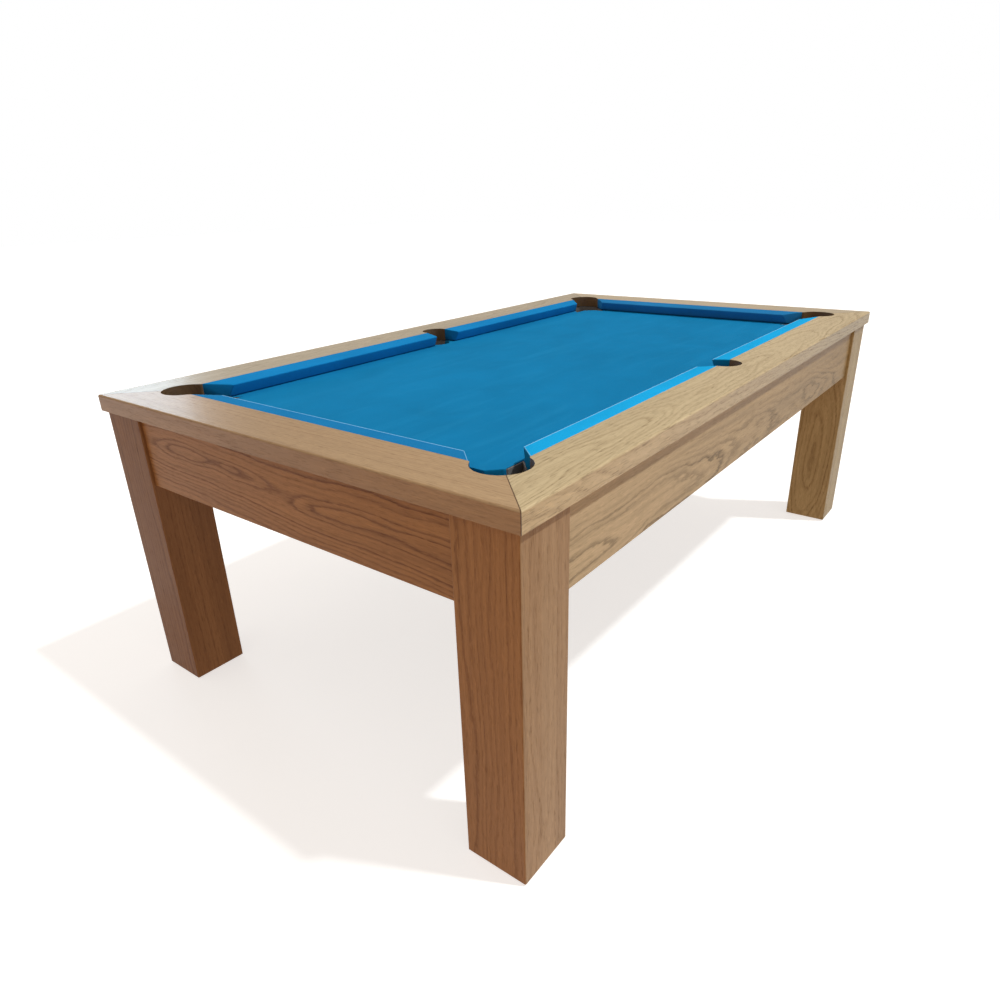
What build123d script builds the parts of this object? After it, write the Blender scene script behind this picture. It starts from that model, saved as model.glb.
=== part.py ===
from build123d import *
import math
import os

# A seven-foot pool table: oak rails, aprons and box legs around a plywood frame that carries a slate bed.
# Millimetres. X runs along the table, Y across it, Z up. The origin is on the floor under the table's centre.
# The long sides are front (-Y) and back (+Y), and the ends are left (-X) and right (+X).

# ---- driving dimensions: the whole table ----
TABLE_LENGTH = 2190.0
TABLE_WIDTH = 1275.0
TABLE_HEIGHT = 790.0

# ---- rails ----
RAIL_WIDTH = 126.0
RAIL_THICKNESS = 40.0
RAIL_EDGE_ROUND = 4.5
MITRE_GAP = 0.25

# ---- cushions: nose to nose is 1830 by 915 ----
CUSHION_WIDTH = 54.0
NOSE_DROP = 6.5
NOSE_UNDERCUT = 14.0
NOSE_ROUND = 2.5
RUBBER_DEPTH = 30.0
CLOTH_THICKNESS = 1.0
CUSHION_FOOT_GAP = 1.0
CLOTH_TURN_UNDER = 46.0
FEATHER_WIDTH = 4.6
FEATHER_HEIGHT = 11.0
NOSE_SKIN_FACTOR = 1.4
FOOT_SKIN_FACTOR = 0.75

# ---- pockets ----
CORNER_POCKET_RADIUS = 57.0
CORNER_POCKET_SHIFT = 20.0
CORNER_MOUTH = 78.0
SIDE_POCKET_RADIUS = 45.0
SIDE_POCKET_SHIFT = 2.5
SIDE_MOUTH_HALF = 55.0
CORNER_MOUTH_ROUND = 8.0
SIDE_MOUTH_ROUND = 2.0
SLATE_DROP_LEAD = 10.5
SLATE_CUT_BACK = 4.5
SLATE_CORNER_CHAMFER = 30.5
LINER_WALL = 2.5
LINER_BACK = 2.0
LINER_GAP = 0.5
LINER_FLANGE = 10.0
LINER_SPOUT = 32.0
BAG_WALL = 2.0
BAG_TAPER = 12.0
BAG_TOP_OVERLAP = 16.0
BAG_GRIP_GAP = 0.3
CORNER_BAG_BOTTOM = 610.0
SIDE_BAG_BOTTOM = 620.0

# ---- bed ----
SLATE_THICKNESS = 22.0
SLATE_INSET = 43.0
BED_CLOTH_INSET = 75.0

# ---- legs, aprons and frame ----
LEG_WIDTH = 142.0
LEG_INSET = 10.0
LEG_BOARD = 30.0
LEG_EDGE_ROUND = 3.0
LEG_FLOOR_GAP = 6.0
APRON_INSET = 18.0
APRON_THICKNESS = 22.0
APRON_BOTTOM = 577.0
APRON_EDGE_ROUND = 2.0
FRAME_THICKNESS = 22.0
FRAME_BOTTOM = 585.0
BEAM_WIDTH = 45.0
BEAM_HEIGHT = 110.0
BEAM_PLACES = (-700.0, -300.0, 300.0, 700.0)
CORNER_BLOCK = 60.0
LEG_TOP_BLOCK_HEIGHT = 80.0
LEG_FOOT_BLOCK_HEIGHT = 90.0

# ---- fasteners and levelling feet ----
RAIL_BOLT_RADIUS = 4.0
RAIL_BOLT_DEPTH = 25.0
BOLT_HOLE_SPARE = 2.0
RAIL_BOLT_CLEARANCE = 1.0
RAIL_BOLT_HEAD = (13.0, 5.3)
RAIL_BOLT_INSET = 97.5
RAIL_BOLT_SIDE_PLACES = (-790.0, -500.0, -180.0, 180.0, 500.0, 790.0)
RAIL_BOLT_END_PLACES = (-260.0, 0.0, 260.0)
WASHER_RADIUS = 9.0
WASHER_THICKNESS = 1.6
WASHER_BORE_CLEARANCE = 0.3
LEG_BOLT_RADIUS = 5.0
LEG_BOLT_HEAD = (17.0, 6.4)
LEG_BOLT_DEPTH = 20.0
LEG_BOLT_OFFSET = 9.0
LEG_BOLT_HEIGHTS = (612.0, 700.0)
SLATE_SCREW_RADIUS = 2.5
SLATE_SCREW_HEAD = 6.0
SLATE_SCREW_LENGTH = 55.0
SLATE_SCREW_Y = 548.0
FIT_CLEARANCE = 0.05
STUD_RADIUS = 5.0
STUD_LENGTH = 60.0
STUD_BORE_CLEARANCE = 0.5
FOOT_BLOCK_CAP = 15.0
INSERT_RADIUS = 8.0
INSERT_LENGTH = 50.0
INSERT_FLANGE = (14.0, 2.0)
PAD_RADIUS = 24.0
PAD_THICKNESS = 5.0
PAD_ROUND = 1.5

# ---- worked out from the driving dimensions ----
HALF_LENGTH = TABLE_LENGTH / 2
HALF_WIDTH = TABLE_WIDTH / 2
RAIL_BOTTOM = TABLE_HEIGHT - RAIL_THICKNESS
WOOD_X = HALF_LENGTH - RAIL_WIDTH
WOOD_Y = HALF_WIDTH - RAIL_WIDTH
NOSE_X = WOOD_X - CUSHION_WIDTH
NOSE_Y = WOOD_Y - CUSHION_WIDTH
NOSE_Z = TABLE_HEIGHT - NOSE_DROP
CORNER_X = WOOD_X - CORNER_POCKET_SHIFT
CORNER_Y = WOOD_Y - CORNER_POCKET_SHIFT
SIDE_Y = WOOD_Y + SIDE_POCKET_SHIFT
CLOTH_TOP = RAIL_BOTTOM
SLATE_TOP = CLOTH_TOP - CLOTH_THICKNESS
SLATE_BOTTOM = SLATE_TOP - SLATE_THICKNESS
CUSHION_FOOT = CLOTH_TOP + CUSHION_FOOT_GAP
FRAME_INSET = APRON_INSET + APRON_THICKNESS
LEG_CENTRE_X = HALF_LENGTH - LEG_INSET - LEG_WIDTH / 2
LEG_CENTRE_Y = HALF_WIDTH - LEG_INSET - LEG_WIDTH / 2
FRAME_OUT_X = HALF_LENGTH - FRAME_INSET
FRAME_OUT_Y = HALF_WIDTH - FRAME_INSET
FRAME_IN_X = FRAME_OUT_X - FRAME_THICKNESS
FRAME_IN_Y = FRAME_OUT_Y - FRAME_THICKNESS
SLATE_RELIEF = LINER_BACK + LINER_WALL + LINER_GAP
LINER_TOP = SLATE_TOP - LINER_GAP
LINER_FLOOR = SLATE_BOTTOM - LINER_WALL
SPOUT_BOTTOM = LINER_FLOOR - LINER_SPOUT

CORNERS = {
    "front_left": (-1, -1),
    "front_right": (1, -1),
    "back_left": (-1, 1),
    "back_right": (1, 1),
}
SIDES = {"front": -1, "back": 1}
ENDS = {"left": -1, "right": 1}


# ---- helpers ----
def block(x0, x1, y0, y1, z0, z1):
    """A box between two opposite corners."""
    size = Box(abs(x1 - x0), abs(y1 - y0), z1 - z0)
    return Pos((x0 + x1) / 2, (y0 + y1) / 2, (z0 + z1) / 2) * size


def prism(points, z0, z1):
    """An upright prism on a plan outline of straight lines."""
    face = make_face(Polyline(*points, close=True))
    return extrude(Pos(0, 0, z0) * face, z1 - z0)


def disc(x, y, radius, z0, z1):
    """An upright cylinder."""
    return Pos(x, y, (z0 + z1) / 2) * Cylinder(radius, z1 - z0)


def turned(shape, x_sign, y_sign):
    """A piece drawn for the back right quadrant, mirrored into another one."""
    if x_sign < 0:
        shape = mirror(shape, about=Plane.YZ)
    if y_sign < 0:
        shape = mirror(shape, about=Plane.XZ)
    return shape


def save(name, *shapes):
    """Write one node, whose separate solids stay separate."""
    solids = [solid for shape in shapes for solid in shape.solids()]
    whole = solids[0] if len(solids) == 1 else Compound(solids)
    export_step(whole, f"parts/{name}.step")


# ---- pocket outlines in plan, drawn for the back right quadrant ----
def throat(gap, run=None):
    """The corner pocket's throat: a chamfered step in the slate between two cuts at 45 degrees.

    A larger gap draws the same outline further inside the opening. The cuts stop level with
    the pocket's centre unless they are given a run."""
    edge_x = NOSE_X - SLATE_DROP_LEAD + gap
    edge_y = NOSE_Y - SLATE_DROP_LEAD + gap
    mouth = CORNER_MOUTH + SLATE_CUT_BACK - gap * math.sqrt(2)
    chamfer = SLATE_CORNER_CHAMFER + gap * (2 - math.sqrt(2))
    first = (edge_y + NOSE_X - NOSE_Y - mouth, edge_y)
    last = (edge_x, edge_x - NOSE_X + NOSE_Y - mouth)
    if run is None:
        run = (CORNER_X + CORNER_Y - sum(first)) / 2
    far_first = (first[0] + run, first[1] + run)
    far_last = (last[0] + run, last[1] + run)
    step_first = (edge_x - chamfer, edge_y)
    step_last = (edge_x, edge_y - chamfer)
    return make_face(Polyline(step_first, first, far_first, far_last, last, step_last, close=True))


def corner_plan(gap, radius):
    """The corner liner's outline: the throat joined to a round spout."""
    return throat(gap) + Pos(CORNER_X, CORNER_Y) * Circle(radius)


# ---- rails ----
def rail_prism(long_side):
    """A mitred rail blank with its top outer edge rounded."""
    length, width = (HALF_LENGTH, HALF_WIDTH) if long_side else (HALF_WIDTH, HALF_LENGTH)
    outer = length - MITRE_GAP
    inner = length - RAIL_WIDTH - MITRE_GAP
    points = [(-outer, width), (outer, width), (inner, width - RAIL_WIDTH), (-inner, width - RAIL_WIDTH)]
    blank = prism(points, RAIL_BOTTOM, TABLE_HEIGHT)
    top_outer = blank.edges().filter_by(Axis.X).group_by(Axis.Z)[-1].sort_by(Axis.Y)[-1]
    blank = fillet(top_outer, RAIL_EDGE_ROUND)
    return blank if long_side else Rot(0, 0, -90) * blank


def mouth_edges(rail, x, y, reach):
    """The upright edges where a pocket cut meets a rail's inner face."""
    upright = rail.edges().filter_by(Axis.Z)
    return [edge for edge in upright if math.hypot(edge.center().X - x, edge.center().Y - y) < reach]


def make_long_rail():
    """The back rail: two corner cuts, one side cut and six blind bolt holes."""
    rail = rail_prism(True)
    for x_sign in (-1, 1):
        rail -= disc(x_sign * CORNER_X, CORNER_Y, CORNER_POCKET_RADIUS, RAIL_BOTTOM, TABLE_HEIGHT)
    rail -= disc(0, SIDE_Y, SIDE_POCKET_RADIUS, RAIL_BOTTOM, TABLE_HEIGHT)
    half = SIDE_POCKET_RADIUS
    rail -= block(-half, half, WOOD_Y - 1, SIDE_Y, RAIL_BOTTOM, TABLE_HEIGHT)
    chord = math.sqrt(CORNER_POCKET_RADIUS**2 - CORNER_POCKET_SHIFT**2)
    for sign in (-1, 1):
        rail = fillet(mouth_edges(rail, sign * (CORNER_X - chord), WOOD_Y, 1.0), CORNER_MOUTH_ROUND)
        rail = fillet(mouth_edges(rail, sign * half, WOOD_Y, 1.0), SIDE_MOUTH_ROUND)
    for x in RAIL_BOLT_SIDE_PLACES:
        rail -= bolt_hole(x, HALF_WIDTH - RAIL_BOLT_INSET)
    return rail


def make_end_rail():
    """The right rail: two corner cuts and three blind bolt holes."""
    rail = rail_prism(False)
    chord = math.sqrt(CORNER_POCKET_RADIUS**2 - CORNER_POCKET_SHIFT**2)
    for y_sign in (-1, 1):
        rail -= disc(CORNER_X, y_sign * CORNER_Y, CORNER_POCKET_RADIUS, RAIL_BOTTOM, TABLE_HEIGHT)
        rail = fillet(mouth_edges(rail, WOOD_X, y_sign * (CORNER_Y - chord), 1.0), CORNER_MOUTH_ROUND)
    for y in RAIL_BOLT_END_PLACES:
        rail -= bolt_hole(HALF_LENGTH - RAIL_BOLT_INSET, y)
    return rail


def bolt_hole(x, y):
    """A blind hole in a rail's underside."""
    radius = RAIL_BOLT_RADIUS + FIT_CLEARANCE
    return disc(x, y, radius, RAIL_BOTTOM - 1, RAIL_BOTTOM + RAIL_BOLT_DEPTH + BOLT_HOLE_SPARE)


# ---- cushions, drawn in section with u measured from the nose towards the wood ----
def section(points, nose_index=None):
    """A cushion section as a face across X, whose nose may be rounded."""
    face = make_face(Polyline(*points, close=True))
    if nose_index is not None:
        nose = face.vertices().sort_by_distance((*points[nose_index], 0))[0]
        face = fillet(nose, NOSE_ROUND)
    return face


def cushion_solid(face, plan):
    """A section run along the whole rail and cut to the cushion's plan outline."""
    length = 2 * HALF_LENGTH
    run = Plane(origin=(-HALF_LENGTH, NOSE_Y, 0), x_dir=(0, 1, 0), z_dir=(1, 0, 0)) * face
    return extrude(run, length, dir=(1, 0, 0)) & prism(plan, RAIL_BOTTOM, TABLE_HEIGHT + 1)


def cushion_pieces(left, right, left_lean, right_lean):
    """Cover, rubber, liner and feather strip of a cushion on the back rail.

    left and right are the nose ends. A lean is how far the end moves at the wood."""
    def plan(inset):
        step_left = inset * math.hypot(1, left_lean / CUSHION_WIDTH)
        step_right = inset * math.hypot(1, right_lean / CUSHION_WIDTH)
        return [
            (left + step_left, NOSE_Y),
            (right - step_right, NOSE_Y),
            (right - step_right + right_lean, WOOD_Y),
            (left + step_left + left_lean, WOOD_Y),
        ]

    skin = CLOTH_THICKNESS
    floor = CUSHION_FOOT + skin
    rise = NOSE_DROP / CUSHION_WIDTH
    outer = section(
        [
            (CUSHION_WIDTH, TABLE_HEIGHT),
            (0, NOSE_Z),
            (NOSE_UNDERCUT, CUSHION_FOOT),
            (CLOTH_TURN_UNDER, CUSHION_FOOT),
            (CLOTH_TURN_UNDER, floor),
            (CUSHION_WIDTH, floor),
        ],
        nose_index=1,
    )
    nose_in = NOSE_SKIN_FACTOR * skin
    foot_in = NOSE_UNDERCUT + FOOT_SKIN_FACTOR * skin
    nose_top = NOSE_Z - skin + nose_in * rise
    hollow_points = [(CUSHION_WIDTH + 1, TABLE_HEIGHT - skin + rise), (nose_in, nose_top)]
    hollow_points += [(foot_in, floor), (CUSHION_WIDTH + 1, floor)]
    hollow = section(hollow_points, nose_index=1)

    wide = plan(skin)
    cover = cushion_solid(outer, plan(0)) - cushion_solid(hollow, wide)
    filling = cushion_solid(hollow, wide)
    at_rubber = NOSE_Y + RUBBER_DEPTH
    rubber = filling & block(-HALF_LENGTH, HALF_LENGTH, NOSE_Y, at_rubber, 0, TABLE_HEIGHT)
    liner = filling & block(-HALF_LENGTH, HALF_LENGTH, at_rubber, WOOD_Y, 0, TABLE_HEIGHT)
    groove = block(
        -HALF_LENGTH, HALF_LENGTH, WOOD_Y - FEATHER_WIDTH, WOOD_Y, TABLE_HEIGHT - FEATHER_HEIGHT, TABLE_HEIGHT
    )
    return cover, rubber, liner - groove, liner & groove


# ---- bed ----
def quarter_cuts():
    """The pocket cuts of one quadrant, in plan."""
    radius = SIDE_POCKET_RADIUS + SLATE_RELIEF
    corner = throat(0, HALF_LENGTH) + Pos(CORNER_X, CORNER_Y) * Circle(CORNER_POCKET_RADIUS + SLATE_RELIEF)
    side = Pos(0, SIDE_Y) * Circle(radius)
    slot = Pos(0, SIDE_Y + HALF_WIDTH / 2) * Rectangle(2 * radius, HALF_WIDTH)
    return corner + side + slot


def bed_sheet(inset, z0, z1):
    """A flat sheet with all six pocket openings."""
    sheet = Rectangle(TABLE_LENGTH - 2 * inset, TABLE_WIDTH - 2 * inset)
    cuts = quarter_cuts()
    for x_sign, y_sign in CORNERS.values():
        sheet -= turned(cuts, x_sign, y_sign)
    return extrude(Pos(0, 0, z0) * sheet, z1 - z0)


def rail_bolt_places():
    """Plan position of every rail bolt."""
    y = HALF_WIDTH - RAIL_BOLT_INSET
    x = HALF_LENGTH - RAIL_BOLT_INSET
    long_sides = [(place, sign * y) for place in RAIL_BOLT_SIDE_PLACES for sign in (-1, 1)]
    ends = [(sign * x, place) for place in RAIL_BOLT_END_PLACES for sign in (-1, 1)]
    return long_sides + ends


def slate_screw_places():
    """Plan position of every screw that holds the slate to a cross beam."""
    return [(x, sign * SLATE_SCREW_Y) for x in BEAM_PLACES for sign in (-1, 1)]


def screw(x, y, grow):
    """A countersunk screw, or its hole when grown by the fit's clearance."""
    neck = SLATE_SCREW_HEAD - SLATE_SCREW_RADIUS
    head = Cone(SLATE_SCREW_RADIUS + grow, SLATE_SCREW_HEAD + grow, neck)
    head = Pos(x, y, SLATE_TOP - neck / 2) * head
    tip = SLATE_TOP - SLATE_SCREW_LENGTH - grow
    return head + disc(x, y, SLATE_SCREW_RADIUS + grow, tip, SLATE_TOP - neck)


def make_slate():
    """The slate bed, drilled for the rail bolts and countersunk for its own screws."""
    slate = bed_sheet(SLATE_INSET, SLATE_BOTTOM, SLATE_TOP)
    for x, y in rail_bolt_places():
        slate -= disc(x, y, RAIL_BOLT_RADIUS + RAIL_BOLT_CLEARANCE, SLATE_BOTTOM, SLATE_TOP)
    for x, y in slate_screw_places():
        slate -= screw(x, y, FIT_CLEARANCE)
    return slate


def make_bed_cloth():
    """The bed cloth, cut round the rail bolts."""
    cloth = bed_sheet(BED_CLOTH_INSET, SLATE_TOP, CLOTH_TOP)
    for x, y in rail_bolt_places():
        cloth -= disc(x, y, RAIL_BOLT_RADIUS + RAIL_BOLT_CLEARANCE, SLATE_TOP, CLOTH_TOP)
    return cloth


# ---- legs, drawn for the back right corner ----
def leg_boards():
    """Four mitred boards. The two outer ones run on up to the rail as an angle."""
    centre = Pos(LEG_CENTRE_X, LEG_CENTRE_Y)
    outline = centre * RectangleRounded(LEG_WIDTH, LEG_WIDTH, LEG_EDGE_ROUND)
    hollow = centre * Rectangle(LEG_WIDTH - 2 * LEG_BOARD, LEG_WIDTH - 2 * LEG_BOARD)
    wall = outline - hollow
    half = LEG_WIDTH / 2
    boards = []
    for turn in range(4):
        wedge_points = [(0, 0), (half, -half), (half, half)]
        wedge = centre * (Rot(0, 0, 90 * turn) * make_face(Polyline(*wedge_points, close=True)))
        board = extrude(Pos(0, 0, LEG_FLOOR_GAP) * (wall & wedge), FRAME_BOTTOM - LEG_FLOOR_GAP)
        boards.append(board)
    inner_edge = half - LEG_BOARD
    upper_points = [(half, half), (half, -half), (inner_edge, -half), (inner_edge, inner_edge)]
    upper = make_face(Polyline(*upper_points, close=True))
    for turn, flip in ((0, False), (1, True)):
        shape = mirror(upper, about=Plane(origin=(0, 0, 0), z_dir=(1, -1, 0))) if flip else upper
        top = extrude(Pos(0, 0, FRAME_BOTTOM) * (outline & (centre * shape)), RAIL_BOTTOM - FRAME_BOTTOM)
        boards[turn] = boards[turn] + top
    holes = [leg_bolt(along_x, z, FIT_CLEARANCE) for along_x in (True, False) for z in LEG_BOLT_HEIGHTS]
    for hole in holes:
        boards[0] = boards[0] - hole
        boards[1] = boards[1] - hole
    return boards


def leg_bolt(along_x, z, grow=0.0):
    """A bolt from inside the frame into an outer leg board, or its hole when grown."""
    head_radius, head_height = LEG_BOLT_HEAD[0] / math.sqrt(3), LEG_BOLT_HEAD[1]
    reach = FRAME_THICKNESS + LEG_BOLT_DEPTH + (BOLT_HOLE_SPARE if grow else 0)
    shaft = Pos(0, 0, reach / 2) * Cylinder(LEG_BOLT_RADIUS + grow, reach)
    if grow == 0:
        shaft += extrude(RegularPolygon(head_radius, 6), -head_height)
    if along_x:
        return Pos(FRAME_IN_X, CORNER_Y + LEG_BOLT_OFFSET, z) * (Rot(0, 90, 0) * shaft)
    return Pos(CORNER_X + LEG_BOLT_OFFSET, FRAME_IN_Y, z) * (Rot(-90, 0, 0) * shaft)


def leg_inner_block(z0, z1):
    """A block that fills the leg's hollow."""
    half = LEG_WIDTH / 2 - LEG_BOARD
    x, y = LEG_CENTRE_X, LEG_CENTRE_Y
    return block(x - half, x + half, y - half, y + half, z0, z1)


def foot_block():
    """The block at the leg's foot, bored for the threaded insert and the stud."""
    bottom = LEG_FLOOR_GAP + INSERT_FLANGE[1]
    piece = leg_inner_block(bottom, bottom + LEG_FOOT_BLOCK_HEIGHT)
    piece -= disc(LEG_CENTRE_X, LEG_CENTRE_Y, INSERT_RADIUS, bottom, bottom + INSERT_LENGTH)
    bore_top = bottom + LEG_FOOT_BLOCK_HEIGHT - FOOT_BLOCK_CAP
    return piece - disc(LEG_CENTRE_X, LEG_CENTRE_Y, STUD_RADIUS + STUD_BORE_CLEARANCE, bottom, bore_top)


def leveller_insert():
    """A flanged steel sleeve for the stud."""
    flange_radius, flange_height = INSERT_FLANGE
    bottom = LEG_FLOOR_GAP + flange_height
    piece = disc(LEG_CENTRE_X, LEG_CENTRE_Y, INSERT_RADIUS, bottom, bottom + INSERT_LENGTH)
    piece += disc(LEG_CENTRE_X, LEG_CENTRE_Y, flange_radius, LEG_FLOOR_GAP, bottom)
    bore = disc(LEG_CENTRE_X, LEG_CENTRE_Y, STUD_RADIUS + FIT_CLEARANCE, 0, bottom + INSERT_LENGTH)
    return piece - bore


def leveller():
    """A round pad with its threaded stud, screwed right in."""
    pad = disc(LEG_CENTRE_X, LEG_CENTRE_Y, PAD_RADIUS, 0, PAD_THICKNESS)
    pad = fillet(pad.edges().filter_by(GeomType.CIRCLE), PAD_ROUND)
    return pad + disc(LEG_CENTRE_X, LEG_CENTRE_Y, STUD_RADIUS, PAD_THICKNESS, PAD_THICKNESS + STUD_LENGTH)


# ---- aprons and frame ----
def apron(along_x, sign):
    """An oak board between two legs, with its lower outer edge eased."""
    across = HALF_WIDTH if along_x else HALF_LENGTH
    run = (LEG_CENTRE_X if along_x else LEG_CENTRE_Y) - LEG_WIDTH / 2
    outer = across - APRON_INSET
    board = block(-run, run, outer - APRON_THICKNESS, outer, APRON_BOTTOM, RAIL_BOTTOM)
    eased = board.edges().filter_by(Axis.X).group_by(Axis.Z)[0].sort_by(Axis.Y)[-1]
    board = fillet(eased, APRON_EDGE_ROUND)
    turn = (0 if sign > 0 else 180) if along_x else (-90 if sign > 0 else 90)
    return Rot(0, 0, turn) * board


def frame_member(along_x, sign):
    """A plywood side or end of the inner frame, bored for the leg bolts."""
    if along_x:
        y0, y1 = sorted((sign * FRAME_IN_Y, sign * FRAME_OUT_Y))
        board = block(-FRAME_OUT_X, FRAME_OUT_X, y0, y1, FRAME_BOTTOM, SLATE_BOTTOM)
    else:
        x0, x1 = sorted((sign * FRAME_IN_X, sign * FRAME_OUT_X))
        board = block(x0, x1, -FRAME_IN_Y, FRAME_IN_Y, FRAME_BOTTOM, SLATE_BOTTOM)
    for x_sign, y_sign in CORNERS.values():
        for z in LEG_BOLT_HEIGHTS:
            board -= turned(leg_bolt(not along_x, z, FIT_CLEARANCE), x_sign, y_sign)
    return board


def cross_beam(x):
    """A beam across the frame, drilled for two slate screws."""
    half = BEAM_WIDTH / 2
    beam = block(x - half, x + half, -FRAME_IN_Y, FRAME_IN_Y, SLATE_BOTTOM - BEAM_HEIGHT, SLATE_BOTTOM)
    for sign in (-1, 1):
        beam -= screw(x, sign * SLATE_SCREW_Y, FIT_CLEARANCE)
    return beam


def corner_block():
    """A triangular glue block in the frame's corner."""
    points = [
        (FRAME_IN_X, FRAME_IN_Y),
        (FRAME_IN_X - CORNER_BLOCK, FRAME_IN_Y),
        (FRAME_IN_X, FRAME_IN_Y - CORNER_BLOCK),
    ]
    return prism(points, FRAME_BOTTOM, SLATE_BOTTOM - LINER_WALL)


# ---- pocket liners and bags, drawn for the back right corner and the back side ----
def corner_liner():
    """A moulded throat below the slate's edge, with a round spout for the bag."""
    radius = CORNER_POCKET_RADIUS + LINER_BACK
    wall = radius + LINER_WALL
    outer = corner_plan(LINER_GAP, wall)
    inner = corner_plan(LINER_GAP + LINER_WALL, radius)
    upright = extrude(Pos(0, 0, LINER_FLOOR) * (outer - inner), LINER_TOP - LINER_FLOOR)
    spout_hole = Pos(CORNER_X, CORNER_Y) * Circle(radius)
    floor = extrude(Pos(0, 0, LINER_FLOOR) * (outer - spout_hole), LINER_WALL)
    spout = disc(CORNER_X, CORNER_Y, wall, SPOUT_BOTTOM, LINER_FLOOR + 1)
    flange_face = (Pos(CORNER_X, CORNER_Y) * Circle(wall + LINER_FLANGE)) & throat(LINER_GAP, HALF_LENGTH)
    flange = extrude(Pos(0, 0, LINER_TOP - LINER_WALL) * (flange_face - inner), LINER_WALL)
    hole = disc(CORNER_X, CORNER_Y, radius, SPOUT_BOTTOM, LINER_TOP)
    return upright + floor + (spout - hole) + (flange - hole)


def side_liner():
    """A moulded ring below the slate's edge, flanged under the rail."""
    radius = SIDE_POCKET_RADIUS + LINER_BACK
    wall = radius + LINER_WALL
    ring = disc(0, SIDE_Y, wall, SPOUT_BOTTOM, LINER_TOP)
    wide = disc(0, SIDE_Y, wall + LINER_FLANGE, LINER_TOP - LINER_WALL, LINER_TOP)
    flange = wide & block(-wall, wall, SIDE_Y, HALF_WIDTH, SPOUT_BOTTOM, LINER_TOP)
    return ring + flange - disc(0, SIDE_Y, radius, SPOUT_BOTTOM, LINER_TOP)


def bag(x, y, pocket_radius, bottom):
    """A tapered bag that grips the liner's spout."""
    grip = pocket_radius + LINER_BACK + LINER_WALL + BAG_GRIP_GAP
    top = SPOUT_BOTTOM + BAG_TOP_OVERLAP
    outside = Cone(grip + BAG_WALL - BAG_TAPER, grip + BAG_WALL, SPOUT_BOTTOM - bottom)
    outside = Pos(x, y, (SPOUT_BOTTOM + bottom) / 2) * outside
    outside += disc(x, y, grip + BAG_WALL, SPOUT_BOTTOM, top)
    inside = Cone(grip - BAG_TAPER, grip, SPOUT_BOTTOM - bottom - BAG_WALL)
    inside = Pos(x, y, (SPOUT_BOTTOM + bottom + BAG_WALL) / 2) * inside
    inside += disc(x, y, grip, SPOUT_BOTTOM, top)
    return outside - inside


# ---- fasteners ----
def rail_bolt(x, y):
    """A hexagon bolt up through the slate into a rail."""
    across, height = RAIL_BOLT_HEAD
    under_head = SLATE_BOTTOM - WASHER_THICKNESS
    head = extrude(Pos(x, y, under_head) * RegularPolygon(across / math.sqrt(3), 6), -height)
    return head + disc(x, y, RAIL_BOLT_RADIUS, under_head, RAIL_BOTTOM + RAIL_BOLT_DEPTH)


def rail_bolt_washer(x, y):
    """A washer between a rail bolt's head and the slate."""
    bottom = SLATE_BOTTOM - WASHER_THICKNESS
    bore = RAIL_BOLT_RADIUS + WASHER_BORE_CLEARANCE
    return disc(x, y, WASHER_RADIUS, bottom, SLATE_BOTTOM) - disc(x, y, bore, bottom, SLATE_BOTTOM)


# ---- build and write every node ----
os.makedirs("parts", exist_ok=True)

save("slate_bed", make_slate())
save("bed_cloth", make_bed_cloth())

long_rail = make_long_rail()
for name, sign in SIDES.items():
    save(f"rail_{name}", turned(long_rail, 1, sign))
end_rail = make_end_rail()
for name, sign in ENDS.items():
    save(f"rail_{name}", turned(end_rail, sign, 1))

corner_nose = NOSE_X - CORNER_MOUTH
side_lean = SIDE_MOUTH_HALF - SIDE_POCKET_RADIUS
half_cushion = cushion_pieces(SIDE_MOUTH_HALF, corner_nose, -side_lean, CUSHION_WIDTH)
cushions = {name: [turned(piece, *signs) for piece in half_cushion] for name, signs in CORNERS.items()}
end_half = NOSE_Y - CORNER_MOUTH
end_cushion = cushion_pieces(-end_half, end_half, -CUSHION_WIDTH, CUSHION_WIDTH)
shift = Pos(NOSE_X - NOSE_Y, 0, 0)
for name, sign in ENDS.items():
    cushions[name] = [turned(shift * (Rot(0, 0, -90) * piece), sign, 1) for piece in end_cushion]
for name, (cover, rubber, _, _) in cushions.items():
    save(f"cushion_cloth_{name}", cover)
    save(f"cushion_rubber_{name}", rubber)
save("cushion_liners", *[pieces[2] for pieces in cushions.values()])
save("feather_strips", *[pieces[3] for pieces in cushions.values()])

boards = leg_boards()
for name, signs in CORNERS.items():
    save(f"leg_{name}", *[turned(board, *signs) for board in boards])
    save(f"leveller_{name}", turned(leveller(), *signs))
top_block = leg_inner_block(FRAME_BOTTOM - LEG_TOP_BLOCK_HEIGHT, FRAME_BOTTOM)
save("leg_top_blocks", *[turned(top_block, *signs) for signs in CORNERS.values()])
save("leg_foot_blocks", *[turned(foot_block(), *signs) for signs in CORNERS.values()])
save("leveller_inserts", *[turned(leveller_insert(), *signs) for signs in CORNERS.values()])

for name, sign in SIDES.items():
    save(f"apron_{name}", apron(True, sign))
    save(f"frame_side_{name}", frame_member(True, sign))
for name, sign in ENDS.items():
    save(f"apron_{name}", apron(False, sign))
    save(f"frame_end_{name}", frame_member(False, sign))
for number, x in enumerate(BEAM_PLACES, 1):
    save(f"cross_beam_{number}", cross_beam(x))
save("frame_corner_blocks", *[turned(corner_block(), *signs) for signs in CORNERS.values()])

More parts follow.
